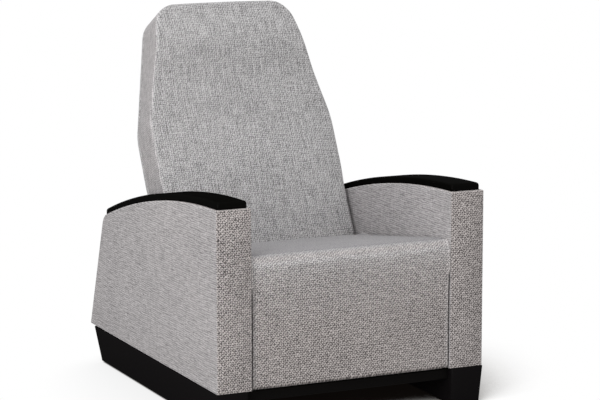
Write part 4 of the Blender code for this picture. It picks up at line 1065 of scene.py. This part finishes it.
def split_top(bm):
    """Cuts the broad face on the back's top into a grid, so that the weave lies even once it is smoothed."""

    def is_top(face):
        return all(abs(back_place(v.co)[1] - BACK_TOP) < CUT_TOLERANCE for v in face.verts)

    columns = sorted({round(v.co.x, 6) for f in bm.faces if is_top(f) for v in f.verts})
    cuts = [(Vector((x, 0, 0)), Vector((1, 0, 0))) for x in columns[5:-5:3]]
    front = BACK_FRONT - head_roll(BACK_TOP) + BACK_EDGE
    rearward = on_back(0, 1, 0) - on_back(0, 0, 0)
    depths = spread(BACK_SEAM - SEAM_STRIP, front + BACK_EDGE / 2, 7)[:-1]
    cuts += [(on_back(0, depth, BACK_TOP), rearward) for depth in depths]
    for place, way in cuts:
        faces = [f for f in bm.faces if is_top(f)]
        geom = faces + [e for f in faces for e in f.edges] + [v for f in faces for v in f.verts]
        geom = list(dict.fromkeys(geom))
        bmesh.ops.bisect_plane(bm, geom=geom, dist=CUT_TOLERANCE, plane_co=place, plane_no=way)


def back_cushion():
    edge = BACK_FOOT + BACK_EDGE
    level = BACK_FOOT + BACK_FOOT_TUCK
    rings = [(height, 1) for height in spread(BACK_FOOT, edge, 5)]
    for height in spread(edge, BACK_TOP - TOP_CORNER, 56)[1:]:
        rings.append((height, eased((level - height) / (level - BACK_FOOT - BACK_EDGE))))
    rings += [(BACK_TOP - TOP_CORNER * (1 - math.sin(turn)), 0) for turn in quarter_turn(16)[1:]]
    bm = loft([back_ring(*ring) for ring in rings])
    split_top(bm)
    cut_across(bm, 0, spread(-BACK_CUTS, BACK_CUTS, 3))
    obj = stuffed("back_cushion_upholstery", bm, back_reach)
    lay_cloth(obj, lay_on_back)
    for face in obj.data.polygons:
        face.material_index = 1 if abs(face.normal.x) > BACK_SIDE_FACING else 0
    hidden = ["back_cushion", "back_frame"] + [f"back_strap_{i}" for i in (1, 2, 3, 4)]
    piece(obj, "back", [back_cloth, arm_cloth], hidden)
    smoother(obj)


def panel_reach(point):
    depth, height = padding_place(point)
    if depth < BACK_REAR - FACE_TOLERANCE:
        return 0.0
    across = back_half_width(min(BACK_TOP, height)) - abs(point.x)
    inside = min(across, BACK_TOP - height, height - PANEL_FOOT)
    return PANEL_SWELL * eased((inside - PANEL_HELD) / PANEL_RISE)


def rear_panel():
    """The padded panel that closes the back from behind, sewn to the boxing all round."""
    thickness = BACK_REAR - BACK_SEAM - PANEL_GAP
    heights = spread(PANEL_FOOT, BACK_TOP - TOP_CORNER, 40)
    heights += [BACK_TOP - TOP_CORNER * (1 - math.sin(turn)) for turn in quarter_turn(10)[1:]]
    right = [(back_half_width(height), height) for height in heights]
    outline = right + [(-x, height) for x, height in reversed(right)]
    bm = board([(x, 0, height) for x, height in outline], (0, thickness, 0))
    rear = [e for e in sharp_edges(bm) if all(v.co.y > thickness / 2 for v in e.verts)]
    round_over(bm, rear, PANEL_EDGE, 4)
    rows = spread(PANEL_FOOT + PANEL_CUTS_MARGIN, BACK_TOP - PANEL_CUTS_MARGIN, 36)
    cut_across(bm, 0, spread(-PANEL_CUTS, PANEL_CUTS, 28))
    cut_across(bm, 2, rows + [SHOULDER])
    for vert in bm.verts:
        vert.co = on_back(vert.co.x, BACK_SEAM + PANEL_GAP + vert.co.y, vert.co.z)
    obj = stuffed("back_rear_panel", bm, panel_reach)
    lay_cloth(obj, lay_on_back)
    piece(obj, "back", [back_cloth], ["back_panel"])


# The chair

build_arms()
for side, way in (("left", -1), ("right", 1)):
    piece(arm_cap(side, way), "base", [black_moulding], [f"{side}_arm_cap"])
    piece(plinth(side, way), "base", [black_paint], [f"{side}_plinth"])
seat_cushion()
front_cover()
back_cushion()
rear_panel()

FINISHES = {
    "webbing": black_webbing,
    "nylon": grey_nylon,
    "black_steel": black_steel,
    "zinc_steel": zinc_steel,
    "plywood": birch_ply,
}
for row in frame["record"]["subparts"]:
    if row["material_slot"] in FINISHES:
        nodes[row["node"]].material_slots[0].material = FINISHES[row["material_slot"]]


# Studio

# The sky's light from below and from above, and the floor's own colour
SKY_LOW = (0.26, 0.255, 0.25)
SKY_HIGH = (0.92, 0.92, 0.93)
FLOOR_COLOUR = (0.3, 0.29, 0.28, 1)
FLOOR_SIZE = 40

# The chair's shadow on the floor: the way its light comes, its reach, and its tones from closed to open
SHADOW_LIGHT = (-0.5, -0.2, 0.84)
SHADOW_REACH = 0.9
SHADOW_TONES = [
    (0.0, (0.002, 0.0016, 0.0013)),
    (0.26, (0.006, 0.0047, 0.004)),
    (0.43, (0.45, 0.44, 0.43)),
    (0.58, (0.86, 0.855, 0.85)),
    (0.68, (1, 1, 1)),
]

# A fainter shadow all round
HALO_REACH = 0.7
HALO_GAIN = 0.4
HALO_BASE = 0.69
SHADOW_SAMPLES = 32

# The camera
CAMERA_PLACE = (-2.7321, -6.0309, 1.6391)
CAMERA_YAW = math.radians(24.946)
CAMERA_TILT = math.radians(9.581)
CAMERA_ROLL = math.radians(0.100)
CAMERA_SENSOR = 36.0
CAMERA_LENS = 141.21


def white_rays(tree):
    """The rays that see the white studio: the camera's, and those in gloss and through glass."""
    path = linked(tree, "ShaderNodeLightPath").outputs
    passed_on = maths(tree, "MAXIMUM", path["Is Glossy Ray"], path["Is Transmission Ray"])
    return maths(tree, "MAXIMUM", path["Is Camera Ray"], passed_on)


def build_world():
    world = bpy.data.worlds.new("studio")
    bpy.context.scene.world = world
    world.use_nodes = True
    tree = world.node_tree
    way = linked(tree, "ShaderNodeTexCoord").outputs["Generated"]
    up = linked(tree, "ShaderNodeSeparateXYZ", {0: way}).outputs[2]
    sky = mixed(tree, scaled(tree, up, 0.5, 0.5), SKY_LOW, SKY_HIGH)
    fill_inputs(tree, tree.nodes["Background"], {"Color": mixed(tree, white_rays(tree), sky, (1, 1, 1))})


def build_floor():
    """A white floor that keeps the chair's shadow: soft beside it, and near black in the space below."""
    bm = bmesh.new()
    bmesh.ops.create_grid(bm, x_segments=1, y_segments=1, size=FLOOR_SIZE)
    floor = object_from("floor", bm)
    material, tree, shader = blank("studio floor")
    fill_inputs(tree, shader, {"Base Color": FLOOR_COLOUR, "Roughness": 1.0, "Specular IOR Level": 0.0})

    def openness(inputs):
        return linked(tree, "ShaderNodeAmbientOcclusion", inputs, samples=SHADOW_SAMPLES).outputs["AO"]

    lit_from = linked(tree, "ShaderNodeCombineXYZ", dict(enumerate(SHADOW_LIGHT))).outputs[0]
    open_sky = openness({"Distance": SHADOW_REACH, "Normal": lit_from})
    ramp = linked(tree, "ShaderNodeValToRGB", {"Fac": open_sky})
    while len(ramp.color_ramp.elements) < len(SHADOW_TONES):
        ramp.color_ramp.elements.new(0.5)
    for stop, (place, colour) in zip(ramp.color_ramp.elements, SHADOW_TONES):
        stop.position, stop.color = place, (*colour, 1)
    fading = scaled(tree, openness({"Distance": HALO_REACH}), HALO_GAIN, HALO_BASE, clamp=True)
    seen = linked(tree, "ShaderNodeEmission", {"Color": ramp.outputs["Color"], "Strength": fading})
    shaders = {0: white_rays(tree), 1: shader.outputs[0], 2: seen.outputs[0]}
    both = linked(tree, "ShaderNodeMixShader", shaders)
    tree.links.new(both.outputs[0], tree.nodes["Material Output"].inputs["Surface"])
    floor.data.materials.append(material)


def area_lamp(name, place, aim, size, power):
    lamp = bpy.data.lights.new(name, "AREA")
    lamp.size = size
    lamp.energy = power
    obj = bpy.data.objects.new(name, lamp)
    obj.location = place
    obj.rotation_euler = (Vector(aim) - Vector(place)).to_track_quat("-Z", "Y").to_euler()
    bpy.context.scene.collection.objects.link(obj)


def build_camera():
    level = Vector((math.sin(CAMERA_YAW), math.cos(CAMERA_YAW), 0)) * math.cos(CAMERA_TILT)
    forward = Vector((level.x, level.y, -math.sin(CAMERA_TILT)))
    right = Vector((math.cos(CAMERA_YAW), -math.sin(CAMERA_YAW), 0))
    camera = bpy.data.cameras.new("camera")
    camera.sensor_width = CAMERA_SENSOR
    camera.lens = CAMERA_LENS
    obj = bpy.data.objects.new("camera", camera)
    facing = Matrix((right, right.cross(forward), -forward)).transposed().to_4x4()
    turned = facing @ Matrix.Rotation(-CAMERA_ROLL, 4, "Z")
    obj.matrix_world = Matrix.Translation(CAMERA_PLACE) @ turned
    bpy.context.scene.collection.objects.link(obj)
    bpy.context.scene.camera = obj


build_world()
build_floor()
build_camera()
area_lamp("overhead softbox", (-1.2, -1.2, 3.6), (0, 0, 0.5), 2.6, 31)
area_lamp("left softbox", (-3.5, -2.1, 1.0), (0, 0, 0.5), 1.9, 54)
bpy.context.scene.view_settings.view_transform = "Standard"
